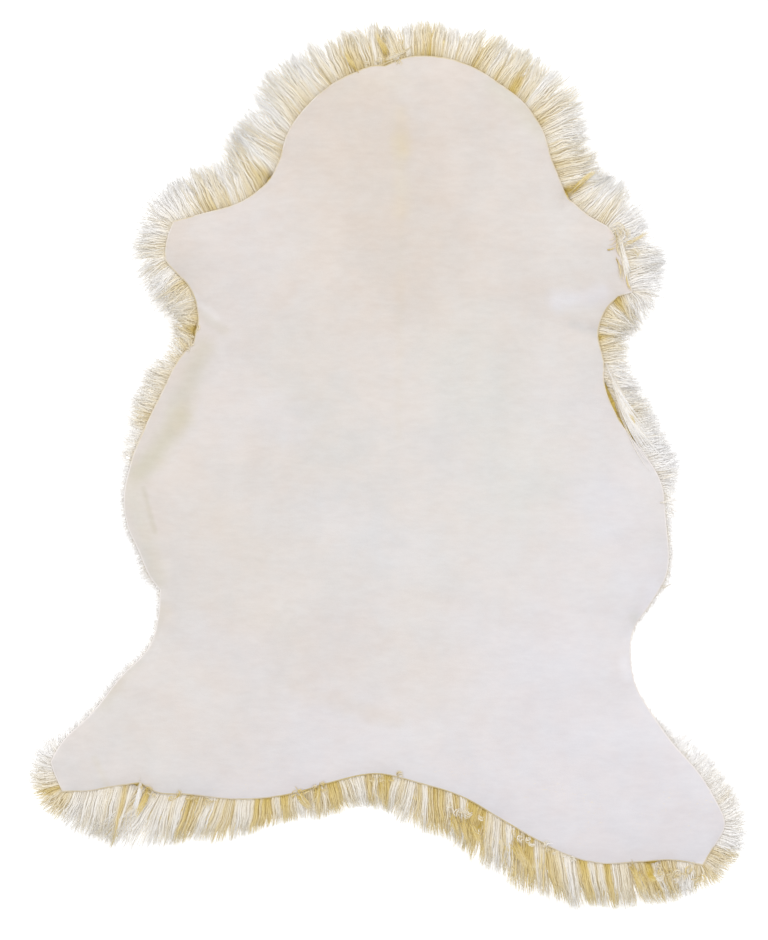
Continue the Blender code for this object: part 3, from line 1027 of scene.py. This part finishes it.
def make_hide(suede_finish, edge_finish):
    """The leather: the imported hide's upper face made smooth, creased, bordered and given its
    thickness."""
    made = upper_sheet("hide_leather")
    apply_modifier(
        made, "smooth", "SUBSURF", levels=2, render_levels=2, boundary_smooth="PRESERVE_CORNERS"
    )
    outline = cut_line(made)
    with opened(made) as work:
        border = bmesh.ops.inset_region(
            work, faces=work.faces[:], thickness=CUT_EDGE_WIDTH, use_boundary=True,
            use_even_offset=True,
        )
        for face in border["faces"]:
            face.material_index = 1

    points = points_of(made.data)
    depth, _ = near_line(points, evenly(outline, EDGE_STEP)[0])
    points[:, 2] += crease_height(points)
    for seed, size, height in HIDE_SWELLS:
        points[:, 2] += height * swell(points, seed, size)
    seed, size, height = EDGE_SWELL
    points[:, 2] += height * bell(depth, EDGE_SWELL_DEPTH) * swell(points, seed, size)
    points[:, 2] -= CUT_EDGE_DROP * np.clip(1 - depth / CUT_EDGE_WIDTH, 0, 1)
    set_points(made.data, points)
    outline = cut_line(made)
    made.data.materials.append(suede_finish)
    made.data.materials.append(edge_finish)
    apply_modifier(
        made, "thickness", "SOLIDIFY", thickness=LEATHER_THICK, offset=-1.0,
        material_offset_rim=1,
    )
    made.data.shade_smooth()
    made.data.set_sharp_from_angle(angle=math.radians(SHARP_CORNER))
    return made, outline


# ---------------------------------------------------------------------------------------------
# The wool
# ---------------------------------------------------------------------------------------------


class Edge:
    """The cut edge every millimetre or so: its places, which way the wool lies there, how far it
    reaches, and how golden and how fluffy it is."""

    def __init__(self, outline, tips):
        self.place, self.length = evenly(outline, EDGE_STEP)
        self.count = len(self.place)
        ahead = eased(np.roll(self.place, -1, axis=0) - np.roll(self.place, 1, axis=0), 5)[:, :2]
        ahead /= np.linalg.norm(ahead, axis=1)[:, None]
        self.out = crosswise(ahead)
        lie = eased(turned(self.out, np.radians(self.blended(WOOL_LEAN, LEAN_RADIUS))), 6)
        self.lie = lie / np.linalg.norm(lie, axis=1)[:, None]
        self.reach = self.reach_to(tips) + self.blended(LONGER_WOOL, LONGER_RADIUS) * MM
        self.golden = self.blended(WOOL_TONE, TONE_RADIUS)
        self.soft = self.blended(WOOL_SOFT, SOFT_RADIUS)
        chance = np.random.default_rng(2)
        streak = eased(chance.normal(0, 1, self.count), round(STREAK_WIDTH / EDGE_STEP))
        self.streak = streak / streak.std()

    def blended(self, table, radius):
        """A table's last column at each place, from the rows near it."""
        rows = np.array(list(table.values()), float)
        gap = np.linalg.norm(self.place[:, None, :2] - rows[None, :, :2] * MM, axis=2)
        weight = bell(gap, radius) + 1e-4 / (1 + (gap / radius) ** 4)
        return (weight * rows[:, 2]).sum(1) / weight.sum(1)

    def reach_to(self, tips):
        """How far the wool goes from each place, along its lie, to the line of its tips."""
        back = 1.5 * MM  # a start inside the edge, so that tips right at it are met as well
        a, b = tips[:, :2], np.roll(tips[:, :2], -1, axis=0)
        side = b - a
        found = np.full(self.count, LONGEST_WOOL)
        for index, (place, way) in enumerate(zip(self.place[:, :2], self.lie)):
            off = a - (place - back * way)
            cross = way[0] * side[:, 1] - way[1] * side[:, 0]
            cross = np.where(np.abs(cross) < 1e-12, 1e-12, cross)
            far = (off[:, 0] * side[:, 1] - off[:, 1] * side[:, 0]) / cross
            share = (off[:, 0] * way[1] - off[:, 1] * way[0]) / cross
            hits = far[(share >= 0) & (share <= 1) & (far > 0)]
            if len(hits):
                found[index] = min(found[index], hits.min() - back)
        widest = np.max([np.roll(found, k) for k in range(-7, 8)], axis=0)
        return eased(np.clip(widest, 1 * MM, LONGEST_WOOL), 4)

    def at(self, walk):
        """The edge at distances along it."""
        where = (walk / self.length * self.count) % self.count
        low = np.floor(where).astype(int) % self.count
        high, share = (low + 1) % self.count, where % 1

        def mixed(values):
            part = share if values.ndim == 1 else share[:, None]
            return values[low] * (1 - part) + values[high] * part

        names = ("place", "lie", "out", "reach", "golden", "streak", "soft")
        return SimpleNamespace(**{name: mixed(getattr(self, name)) for name in names})


def gap_width(places):
    """How far outside the cut edge the wool begins, past its usual start under the hide."""
    width = np.zeros(len(places))
    for x, y, radius, wide in EDGE_GAPS.values():
        far = np.linalg.norm(places[:, :2] - np.array([x, y]) * MM, axis=1)
        width = np.maximum(width, wide * MM * bell(far, radius * MM))
    return width


def parting_depth(points, edge):
    """How far the locks part at points: narrow across the wool's lie and long along it."""
    depth = np.zeros(len(points))
    for x, y, radius, deep in PARTINGS.values():
        middle = np.array([x, y]) * MM
        nearest = np.linalg.norm(edge.place[:, :2] - middle, axis=1).argmin()
        way = edge.lie[[nearest]]
        off = (points[:, :2] - middle) / (radius * MM)
        along, across = off @ way[0], off @ crosswise(way)[0]
        depth = np.maximum(depth, deep * bell(along, 1.25) * bell(across, 0.5))
    return depth


def wool_surface(edge_height, length, share, lift=0.0):
    """The height of the wool's upper surface, from the cut edge (share 0) to the tips (1)."""
    top = edge_height - 1.2 * MM
    fall = np.clip(share, 0, 1.2) ** 1.7
    full = np.clip(length / FULL_LENGTH, 0.2, 1)
    hump = full * np.sin(math.pi * np.clip(share * 1.25, 0, 1))
    tips = TIP_HEIGHT + TIP_LIFT * lift
    return top * (1 - fall) + tips * fall + (HUMP_HEIGHT + HUMP_LIFT * lift) * hump


def foot_side(places):
    """1 along the feet and the tail, where the locks are wide and even, and 0 elsewhere."""
    return np.clip((FOOT_LINE - places[:, 1]) / FOOT_FADE, 0, 1)


def gild_edge(hide, edge):
    """Give the hide's cut edge the wool's gold, deepened at the partings as painted golden shade.
    """
    points = points_of(hide.data)
    _, nearest = near_line(points, edge.place)
    set_golden(hide, np.maximum(edge.golden[nearest], 0.8 * parting_depth(points, edge)))


def strand_pattern(rings, sides=STRAND_SIDES):
    """One strand's triangles: their corners, where each lies on the strand's map, and its ring."""
    along = np.linspace(0, 1, rings)
    step = STRAND_ROW / sides
    corners = []  # each (corner's number, place round the strand, place along it, ring)
    for k in range(rings - 2):
        for s in range(sides):
            a, b = k * sides + s, k * sides + (s + 1) % sides
            near_left, near_right = (a, s, along[k], k), (b, s + 1, along[k], k)
            far_left = (a + sides, s, along[k + 1], k + 1)
            far_right = (b + sides, s + 1, along[k + 1], k + 1)
            corners += [near_left, far_right, near_right, near_left, far_left, far_right]
    last, tip = (rings - 2) * sides, (rings - 1) * sides
    for s in range(sides):
        corners += [
            (last + (s + 1) % sides, s + 1, along[-2], rings - 2),
            (last + s, s, along[-2], rings - 2),
            (tip, s + 0.5, 1.0, rings - 1),
        ]
    corners += [(0, 0, 0.0, 0), (1, 1, 0.02, 0), (2, 2, 0.0, 0)]
    number, around, up, ring = (np.array(column) for column in zip(*corners))
    return number.reshape(-1, 3), around * step, up, ring


def strands(name, lines, thick, shade, finish):
    """Tapered strands as one mesh. lines is (strand, ring, xyz), and each strand narrows to a
    point at its last ring. thick is how far its corners are from its middle line. Its own map
    has its shade across and its length up. shade is one value for each strand, or one for each
    ring of each strand."""
    count, rings = lines.shape[:2]
    ahead = np.gradient(lines, axis=1)
    ahead /= np.maximum(np.linalg.norm(ahead, axis=2), 1e-9)[:, :, None]
    up = np.zeros_like(ahead)
    up[:, :, 2] = 1.0
    across = np.cross(ahead, up)
    across /= np.maximum(np.linalg.norm(across, axis=2), 1e-6)[:, :, None]
    above = np.cross(across, ahead)
    along = np.linspace(0, 1, rings)
    taper = (0.70 + 0.55 * np.sin(math.pi * np.clip(along * 0.9, 0, 1))) * (1 - along**3.4)
    radius = (thick[:, None] * taper)[:, :-1, None, None]
    # Each strand keeps a side nearly level upwards, where it catches the light.
    roll = np.random.default_rng(count).normal(0, math.radians(14), count)
    turn = roll[:, None] + 2 * math.pi * (np.arange(STRAND_SIDES) + 0.5) / STRAND_SIDES
    turn = (turn + math.pi / 2)[:, None, :, None]
    ring = across[:, :-1, None] * np.cos(turn) + above[:, :-1, None] * np.sin(turn)
    body = (lines[:, :-1, None] + ring * radius).reshape(count, -1, 3)
    points = np.concatenate([body, lines[:, -1:]], axis=1)

    pattern, around, up_map, on_ring = strand_pattern(rings)
    first = np.arange(count) * points.shape[1]
    triangles = (pattern[None] + first[:, None, None]).reshape(-1, 3)
    made = triangle_object(name, points.reshape(-1, 3), triangles, finish)
    shade = np.clip(shade, 0.0, DEEPEST_SHADE)
    shade = shade if shade.ndim == 2 else np.repeat(shade[:, None], rings, axis=1)
    u = shade[:, on_ring] + around
    v = np.broadcast_to(0.01 + 0.98 * up_map, u.shape)
    layer = made.data.uv_layers.new(name=STRAND_MAP, do_init=False)
    layer.uv.foreach_set("vector", np.stack([u, v], 2).astype(np.float32).ravel())
    return made


# ---------------------------------------------------------------------------------------------
# The fringe
# ---------------------------------------------------------------------------------------------


def fringe_locks(edge, seed=3):
    """The locks along the whole edge: their middles as distances along it, and their widths."""
    chance = np.random.default_rng(seed)
    middles, widths = [], []
    walk = 0.0
    while walk < edge.length:
        wide = chance.uniform(*LOCK_WIDTH)
        wide *= 1 + (FOOT_LOCKS - 1) * foot_side(edge.at(np.array([walk])).place)[0]
        middles.append(walk + wide / 2)
        widths.append(wide)
        walk += wide
    return np.array(middles), np.array(widths)


def lock_traits(heart, chance):
    """What the strands of each lock share, from the edge at the locks' hearts. Its chances are
    drawn in this order."""
    count, foot, soft = len(heart.place), foot_side(heart.place), heart.soft
    calm = {trait: 1 - much * foot for trait, much in FOOT_CALM.items()}
    return {
        "foot": foot,
        "soft": soft,
        "turn": np.radians(chance.normal(0, LOCK_TURN, count)) * calm["turn"],
        "stretch": chance.uniform(*LOCK_LENGTH, count) * (1 - foot) + FOOT_LENGTH * foot,
        "bend": chance.normal(0, LOCK_BEND, count) * calm["bend"],
        "pinch": chance.uniform(*LOCK_PINCH, count) * calm["pinch"],
        "wave": chance.uniform(*WAVE_LENGTH, count),
        "start": chance.random(count),
        "lift": chance.uniform(-1, 1, count),
        "gold": np.clip(chance.normal(0, 1, count), -1.3, 1.3)
        * between(LOCK_GOLD, foot) * (1 - 0.6 * soft),
        "rounding": LOCK_ROUNDING * calm["rounding"],
    }


def fringe_strands(edge, chance):
    """Each strand's lock and what it has from it, where it grows, and its length."""
    middles, widths = fringe_locks(edge)
    heart = edge.at(middles)
    fullness = np.clip(heart.reach / CROWDED_REACH, 0.0, 1.15) ** 0.8
    wanted = STRANDS_PER_METRE * widths * np.maximum(fullness, HANGING_SHARE)
    lock = np.repeat(np.arange(len(middles)), wanted.astype(int))
    total = len(lock)
    loose = chance.random(total) < between(LOOSE_SHARE, heart.soft)[lock]
    traits = lock_traits(heart, chance)
    own = SimpleNamespace(**{name: values[lock] for name, values in traits.items()})

    # Loose strands keep to themselves.
    stray = np.radians(chance.normal(0, 1, total) * between(LOOSE_TURN, own.soft))
    own.turn = own.turn + np.where(loose, stray, 0)
    own.pinch = np.where(loose, 0, own.pinch)
    own.side = chance.uniform(-LOCK_OVERLAP, LOCK_OVERLAP, total)
    own.layer = np.where(loose, LOOSE_LAYER, 1.0) * chance.random(total) ** 0.7
    own.walk = middles[lock] + own.side * widths[lock] / 2
    own.here, own.mid = edge.at(own.walk), edge.at(middles[lock])
    past_gap = np.clip(np.abs(own.side) - LOCK_GAP, 0, 1) / (LOCK_OVERLAP - LOCK_GAP)
    own.gap = np.where(loose, 0, past_gap)

    reach = own.here.reach
    calm = np.clip((LONG_WOOL - reach) / (14 * MM), 0, 1)
    past = PAST_REACH * np.clip(reach / (25 * MM), 0, 1) * (0.3 + 0.7 * calm)
    length = (reach + past) * (1 + (own.stretch - 1) * calm)
    rounded = np.where(loose, 0, own.rounding)
    few = chance.random(total) ** between(SHORTER_POWER, own.soft)
    shorter = between(SHORTER, own.soft) * few
    length = length * (1 - rounded * own.side**2) * (1 - shorter)
    own.length = length * np.where(loose, LOOSE_LENGTH, 1)
    return own


def fringe_plan(own, t, chance):
    """The strands seen from above, from their roots under the hide to their tips."""
    total, place, length = len(own.length), own.here.place[:, :2], own.length
    way = turned(own.here.lie, own.turn)
    sideways = crosswise(way)
    tip = place + way * length[:, None]
    lock_tip = own.mid.place[:, :2] + own.mid.lie * (own.mid.reach * own.stretch)[:, None]
    drawn = own.pinch * np.clip(own.mid.reach / FULL_LENGTH, 0, 1)
    drawn = drawn * np.clip(np.abs(own.side), 0, 1) * 0.8
    tip = tip + (lock_tip - tip) * drawn[:, None]
    opened_by = gap_width(place)
    inside = chance.uniform(*ROOT_INSIDE, total) * np.clip(1 - opened_by / (2 * MM), 0, 1)
    own.inside = inside - opened_by * chance.uniform(0.75, 1.1, total)
    root = place - own.here.out * own.inside[:, None]
    knee = place + way * (LOCK_KNEE * length)[:, None] + sideways * (own.bend * length)[:, None]

    along = t[..., None]
    plan = (1 - along) ** 2 * root[:, None] + 2 * along * (1 - along) * knee[:, None]
    plan = plan + along**2 * tip[:, None]
    turns = t * (length / own.wave)[:, None] + own.start[:, None]
    turns = turns + chance.normal(0, 1, (total, 1)) * (0.05 + 0.25 * own.soft)[:, None]
    wave = WAVE_SIZE * np.sin(2 * math.pi * turns) * np.clip(t * 2.2 - 0.3, 0, 1)
    wave = wave * (np.clip(length / FULL_LENGTH, 0, 1) * (1 + 0.8 * own.soft))[:, None]
    plan = plan + sideways[:, None] * wave[..., None]
    frizz = chance.normal(0, FRIZZ, plan.shape) * (1 + own.soft)[:, None, None]
    return plan + frizz * np.clip(along, 0.25, 1)


def fringe_height(own, t, parted, chance):
    """The strands' heights: from the root under the hide, over the edge and down to the tip."""
    edge_height, reach = own.here.place[:, 2:], own.here.reach[:, None]
    walked = t * (own.length + own.inside)[:, None] - own.inside[:, None]
    share = np.maximum(walked / np.maximum(reach, 6 * MM), 0)
    top = wool_surface(edge_height, reach, share, own.lift[:, None])
    held = np.clip(share, 0, 1)
    low = (top - LOCK_DEPTH) * (1 - held) + 1.2 * MM * held
    sink = 0.35 * parted + 0.30 * own.gap[:, None]
    height = low + (top - low) * own.layer[:, None] * (1 - sink)
    height = height + chance.normal(0, 0.30 * MM, height.shape) * np.clip(t, 0.1, 1)
    under_hide = edge_height - LEATHER_THICK - 1.0 * MM
    height = np.where(walked < 0, np.minimum(height, under_hide), height)
    return np.maximum(height, LOWEST_STRAND)


def fringe_shade(own, t, parted, chance):
    """How golden each strand is at each of its rings. Locks show most of this at the feet, and
    fluff least. Low strands and strands in the gaps between locks get more gold as painted
    golden shade, and strands in the partings get the deep wool's gold deepened the same way."""
    golden, foot = own.here.golden, foot_side(own.here.place)
    combed = 1 - 0.5 * own.soft
    shade = golden + own.gold + chance.normal(0, STRAND_GOLD, len(golden)) * combed
    shade = shade + between(LOW_LAYER_GOLDEN_SHADE, foot) * (0.5 - own.layer) * combed
    streaky = 0.05 + between(STREAK_GOLD, foot) * np.clip(golden, 0, 0.8)
    shade = shade + own.here.streak * streaky + GAP_GOLDEN_SHADE * own.gap
    pale_tips = FLANK_ROOT_GOLD * (1 - foot) * np.clip(golden / 0.3, 0, 1)
    to_tip = (FOOT_TIP_GOLD * foot - pale_tips)[:, None] * (t - 0.4)
    shade = shade[:, None] + PARTING_GOLD_AND_SHADE * parted + to_tip
    return np.clip(np.maximum(shade, LEAST_GOLD * golden[:, None]), 0, 1)


def fringe(edge, seed=17):
    """The strands of the fringe: their lines, thickness, shade and place along the edge."""
    chance = np.random.default_rng(seed)
    own = fringe_strands(edge, chance)
    t = np.linspace(0, 1, STRAND_RINGS + 1)[None]
    plan = fringe_plan(own, t, chance)
    parted = np.stack([parting_depth(plan[:, k], edge) for k in range(t.size)], 1)
    height = fringe_height(own, t, parted, chance)
    shade = fringe_shade(own, t, parted, chance)
    thick = chance.uniform(*STRAND_THICK, len(own.length))
    thick = thick * np.clip(own.length / (26 * MM), 0.45, 1)
    return np.concatenate([plan, height[..., None]], axis=2), thick, shade, own.walk / edge.length


def fine_fibres(edge, finish, seed=29):
    """Single fibres that stand out past the locks and soften the rug's outline."""
    chance = np.random.default_rng(seed)
    walk = chance.random(int(FINE_FIBRES_PER_METRE * edge.length)) * edge.length
    seen = edge.at(walk)
    shown = np.clip((seen.reach - 1.5 * MM) / (5 * MM), 0.12, 1) * (0.50 + 0.50 * seen.soft)
    here = edge.at(walk[chance.random(len(walk)) < shown])
    place, reach, soft, count = here.place, here.reach, here.soft, len(here.place)
    short = reach < SHORT_WOOL
    way = turned(here.lie, np.radians(chance.normal(0, FINE_FIBRE_STRAY, count)))
    start = np.where(short, -0.2, chance.uniform(*FINE_FIBRE_START, count))
    short_end = reach + 1.5 * MM * chance.random(count)
    share = chance.uniform(0.94, 1.10, count) - 0.12 * soft * chance.random(count)
    end = np.where(short, short_end, (reach + FINE_FIBRE_PAST * (1 + 0.5 * soft)) * share)
    t = np.linspace(0, 1, STRAND_RINGS)[None]
    along = t[..., None]
    first = place[:, :2] + here.lie * (start * reach)[:, None]
    last = place[:, :2] + way * end[:, None]
    curl = chance.normal(0, FINE_FIBRE_CURL, count)[:, None] * np.sin(math.pi * t * 1.3)
    plan = first[:, None] * (1 - along) + last[:, None] * along
    plan = plan + crosswise(way)[:, None] * curl[..., None]
    from_height = np.where(short, place[:, 2] - 4 * MM, 12 * MM * (1 - start) + 6 * MM)
    hanging = place[:, 2] - chance.uniform(4, 18, count) * MM
    to_height = np.where(short, hanging, chance.uniform(1, 14, count) * MM)
    height = from_height[:, None] * (1 - t) + to_height[:, None] * t
    lines = np.concatenate([plan, np.maximum(height, 0.6 * MM)[..., None]], axis=2)
    thick = FINE_FIBRE_THICK * chance.uniform(0.6, 1.3, count) * np.where(short, 1.7, 1)
    return strands("fine_fibres", lines, thick, np.clip(here.golden * 0.2, 0, 1), finish)


# ---------------------------------------------------------------------------------------------
# Locks on, inside and under the fringe
# ---------------------------------------------------------------------------------------------


def laid_rows(chance):
    """The locks that lie their own way and the strewn curls, as rows like the locks' own."""
    rows = list(LAID_LOCKS.values())
    for from_x, from_y, to_x, to_y, count, length, tone in CURL_BANDS.values():
        for share in (np.arange(count) + chance.random(count)) / count:
            rows.append((
                from_x + (to_x - from_x) * share + chance.normal(0, CURL_STRAY),
                from_y + (to_y - from_y) * share + chance.normal(0, CURL_STRAY),
                chance.uniform(0, 360), length * chance.uniform(0.7, 1.2),
                chance.uniform(*CURL_TURN) * chance.choice([-1, 1]),
                CURL_WIDTH / MM, CURL_STRANDS, tone + chance.normal(0, 0.12),
            ))
    return rows


def height_under(plan, edge, hide):
    """The height of what lies under lines seen from above: the hide, or past it the wool."""
    surface = BVHTree.FromPolygons(
        [v.co for v in hide.data.vertices], [p.vertices for p in hide.data.polygons]
    )
    flat = plan.reshape(-1, 2)
    hits = [surface.ray_cast((x, y, 0.2), (0, 0, -1))[0] for x, y in flat]
    far, nearest = near_line(flat, edge.place)
    reach = np.maximum(edge.reach[nearest], 6 * MM)
    wool = wool_surface(edge.place[nearest, 2], reach, far / reach, 0.1)
    under = np.array([hit.z if hit else height for hit, height in zip(hits, wool)])
    under = under.reshape(plan.shape[:2])
    smooth = (np.roll(under, 1, axis=1) + under + np.roll(under, -1, axis=1)) / 3
    under[:, 1:-1] = np.maximum(smooth, under)[:, 1:-1]
    return under


def laid_locks(edge, hide, finish, seed=53):
    """Locks and small curls that lie their own way on the fringe and over the hide's edge."""
    chance = np.random.default_rng(seed)
    rows = laid_rows(chance)
    rows = np.repeat(np.array(rows), [int(row[6]) for row in rows], axis=0)
    x, y, heading, length, turn, width, _, tone = rows.T
    total = len(rows)
    t = np.linspace(0, 1, LAID_RINGS + 1)
    length = length * MM * chance.uniform(0.72, 1.05, total)
    side = np.clip(chance.normal(0, 0.55, total), -1.3, 1.3)
    angle = np.radians(heading + chance.normal(0, 3, total))[:, None]
    angle = angle + np.radians(turn * chance.uniform(0.85, 1.1, total))[:, None] * t
    step = length[:, None, None] / LAID_RINGS * np.stack([np.cos(angle), np.sin(angle)], 2)
    plan = np.cumsum(step, axis=1) + step[:, :1] * chance.normal(-1, 1.1, total)[:, None, None]
    sideways = np.stack([-np.sin(angle), np.cos(angle)], 2)
    spread = (side * width / 2 * MM)[:, None] * (1 - LAID_NARROWS * t**2)
    plan = plan + sideways * spread[..., None] + np.stack([x, y], 1)[:, None] * MM
    plan = plan + chance.normal(0, 0.25 * MM, plan.shape)

    crown = np.sqrt(np.clip(1 - side**2, 0, 1))[:, None]
    arch = LAID_RISE * crown * np.sin(math.pi * (0.12 + 0.76 * t))
    height = height_under(plan, edge, hide) + LAID_CLEAR
    height = height + arch * chance.uniform(0.4, 1.2, total)[:, None]
    lines = np.concatenate([plan, height[..., None]], axis=2)
    thick = chance.uniform(*LAID_THICK, total)
    shade = tone + chance.normal(0, 0.13, total) + 0.10 * np.abs(side)
    return strands("laid_locks", lines, thick, shade, finish)


def wool_core(edge, finish):
    """The dense wool under the locks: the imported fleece, drawn in so that the locks cover it."""
    made = merged_copy("fleece", "wool_core")
    apply_modifier(made, "even", "REMESH", mode="VOXEL", voxel_size=CORE_GRAIN)
    points = points_of(made.data)
    _, nearest = near_line(points, edge.place)
    place, out, reach = edge.place[nearest], edge.out[nearest], edge.reach[nearest]

    # Past the cut edge the wool is drawn in towards it, more so where the locks are fluffy.
    off = points[:, :2] - place[:, :2]
    beyond = np.clip((off * out).sum(1), 0, None)
    drawn = CORE_REACH * (1 - 0.4 * edge.soft[nearest])
    inner = place[:, :2] + off * drawn[:, None]
    points[:, :2] = np.where(beyond[:, None] > 0, inner, points[:, :2])

    # Its top follows the locks from below, and comes up in the gaps at the edge.
    share = np.clip(drawn * beyond / np.maximum(reach, 4 * MM), 0, 1)
    bare = np.clip(gap_width(points) / (2.5 * MM), 0, 1)
    surface = wool_surface(place[:, 2], reach, share) - between(CORE_DEPTH, share)
    surface = surface + 2.4 * MM * bare
    lifted = np.clip((points[:, 2] - 2 * MM) / (6 * MM), 0, 1)
    rough = swell(points, 21, 9 * MM) + 0.6 * swell(points, 22, 5 * MM)
    outer = np.clip(beyond / (4 * MM), 0, 1)
    top = (points[:, 2] - 1.6 * MM) * (1 - outer) + (surface + 0.7 * MM * rough) * outer
    under = points[:, 2] + 3.2 * MM + 1.1 * MM * rough
    points[:, 2] = np.maximum(under * (1 - lifted) + top * lifted, CORE_LOWEST)
    set_points(made.data, points)

    golden = edge.golden[nearest]
    # Deeper gold in the partings and in the gaps at the edge: the deep wool's own gold, deepened
    # as painted golden shade.
    upper = np.maximum(golden * 0.75 + 0.9 * parting_depth(points, edge), bare)
    set_golden(made, np.clip(np.where(lifted > 0.3, upper, 0.4 * golden), 0, 1))
    made.data.materials.append(finish)
    made.data.shade_smooth()
    return made


def under_locks(tips, finish, seed=41):
    """The curled locks that lie pressed against the floor on the wool side."""
    chance = np.random.default_rng(seed)
    low, high = tips[:, :2].min(0), tips[:, :2].max(0)
    columns, rows = (np.arange(a, b, UNDER_PITCH) for a, b in zip(low, high))
    root = np.stack(np.meshgrid(columns, rows), 2).reshape(-1, 2)
    root = root + chance.uniform(-0.5, 0.5, root.shape) * UNDER_PITCH
    angle = 1.5 * swell(root, 31, 150 * MM) + 0.7 * swell(root, 32, 45 * MM) - math.pi / 2
    angle = angle + chance.normal(0, 0.25, len(root))
    way = np.stack([np.cos(angle), np.sin(angle)], 1)
    length = chance.uniform(*UNDER_LENGTH, len(root))
    keep = inside_line(root, tips)
    for share in (0.0, 0.5, 1.0):
        along_it = root + way * length[:, None] * share
        keep &= inside_line(along_it, tips) & (near_line(along_it, tips)[0] > UNDER_MARGIN)
    root, way, length = root[keep], way[keep], length[keep]
    count = len(root)
    t = np.linspace(0, 1, STRAND_RINGS + 1)[None]
    bend = chance.normal(0, 0.16, count) * length
    wave = UNDER_WAVE * np.sin(2 * math.pi * (t * 1.4 + chance.random((count, 1))))
    across = bend[:, None] * np.sin(math.pi * t) + wave * t
    plan = root[:, None] + way[:, None] * (length[:, None] * t)[..., None]
    plan = plan + crosswise(way)[:, None] * across[..., None]
    start = chance.uniform(*UNDER_START, (count, 1))
    height = start * (1 - t) ** 1.4 + UNDER_FLOOR + chance.uniform(0, 1.0, (count, 1)) * MM
    lines = np.concatenate([plan, height[..., None]], axis=2)
    thick = UNDER_THICK * chance.uniform(0.65, 1.05, count)
    shade = np.clip(0.22 + 0.10 * swell(root, 33, 90 * MM) + chance.normal(0, 0.08, count), 0, 1)
    return strands("under_locks", lines, thick, shade, finish)


# ---------------------------------------------------------------------------------------------
# The studio
# ---------------------------------------------------------------------------------------------


def studio():
    scene = bpy.context.scene
    bpy.ops.mesh.primitive_plane_add(size=FLOOR_SIZE, location=(0, 0, -FLOOR_DROP))
    floor = bpy.context.object
    floor.name = "floor"
    paper, _, _ = material(
        "pale_floor", 0.9, Specular_IOR_Level=0.0, Base_Color=FLOOR_GREY, Emission_Color=WHITE,
        Emission_Strength=FLOOR_GLOW,
    )
    floor.data.materials.append(paper)

    world = bpy.data.worlds.new("studio_light")
    world.use_nodes = True
    sky = world.node_tree.nodes["Background"]
    sky.inputs["Color"].default_value = WHITE
    sky.inputs["Strength"].default_value = SKY_LIGHT
    scene.world = world

    for name, (place, size, power) in LAMPS.items():
        light = bpy.data.lights.new(name, "AREA")
        light.shape = "DISK"
        light.size = size
        light.energy = power
        lamp = bpy.data.objects.new(name, light)
        lamp.location = place
        lamp.rotation_euler = (-Vector(place)).to_track_quat("-Z", "Y").to_euler()
        scene.collection.objects.link(lamp)

    lens = bpy.data.cameras.new("camera")
    camera = bpy.data.objects.new("camera", lens)
    camera.location = CAMERA_PLACE
    lens.sensor_width = SENSOR_WIDTH
    lens.lens = SENSOR_WIDTH * (CAMERA_PLACE[2] - RUG_HEIGHT) / VIEW_HEIGHT
    lens.clip_end = CLIP_END
    scene.collection.objects.link(camera)
    scene.camera = camera
    scene.view_settings.view_transform = "Standard"


# ---------------------------------------------------------------------------------------------
# Putting it together
# ---------------------------------------------------------------------------------------------


def main():
    nap = nap_group()
    lock_wool = strand_wool()
    hide, outline = make_hide(suede(nap, stroke_group()), cut_edge(nap))
    tips = wool_line()
    edge = Edge(outline, tips)
    gild_edge(hide, edge)

    core = wool_core(edge, deep_wool())
    lines, thick, shade, share = fringe(edge)
    order = np.argsort(share, kind="stable")
    parts = [
        strands(name, lines[picked], thick[picked], shade[picked], lock_wool)
        for name, picked in zip(FRINGE_PIECES, np.array_split(order, len(FRINGE_PIECES)))
    ]
    parts.append(fine_fibres(edge, lock_wool))
    parts.append(under_locks(tips, lock_wool))
    parts.append(laid_locks(edge, hide, lock_wool))

    for piece, slot in [(hide, "hide"), (core, "fleece")] + [(p, "fleece") for p in parts]:
        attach(piece, "root")
    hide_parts("hide")
    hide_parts("fleece")
    studio()


main()
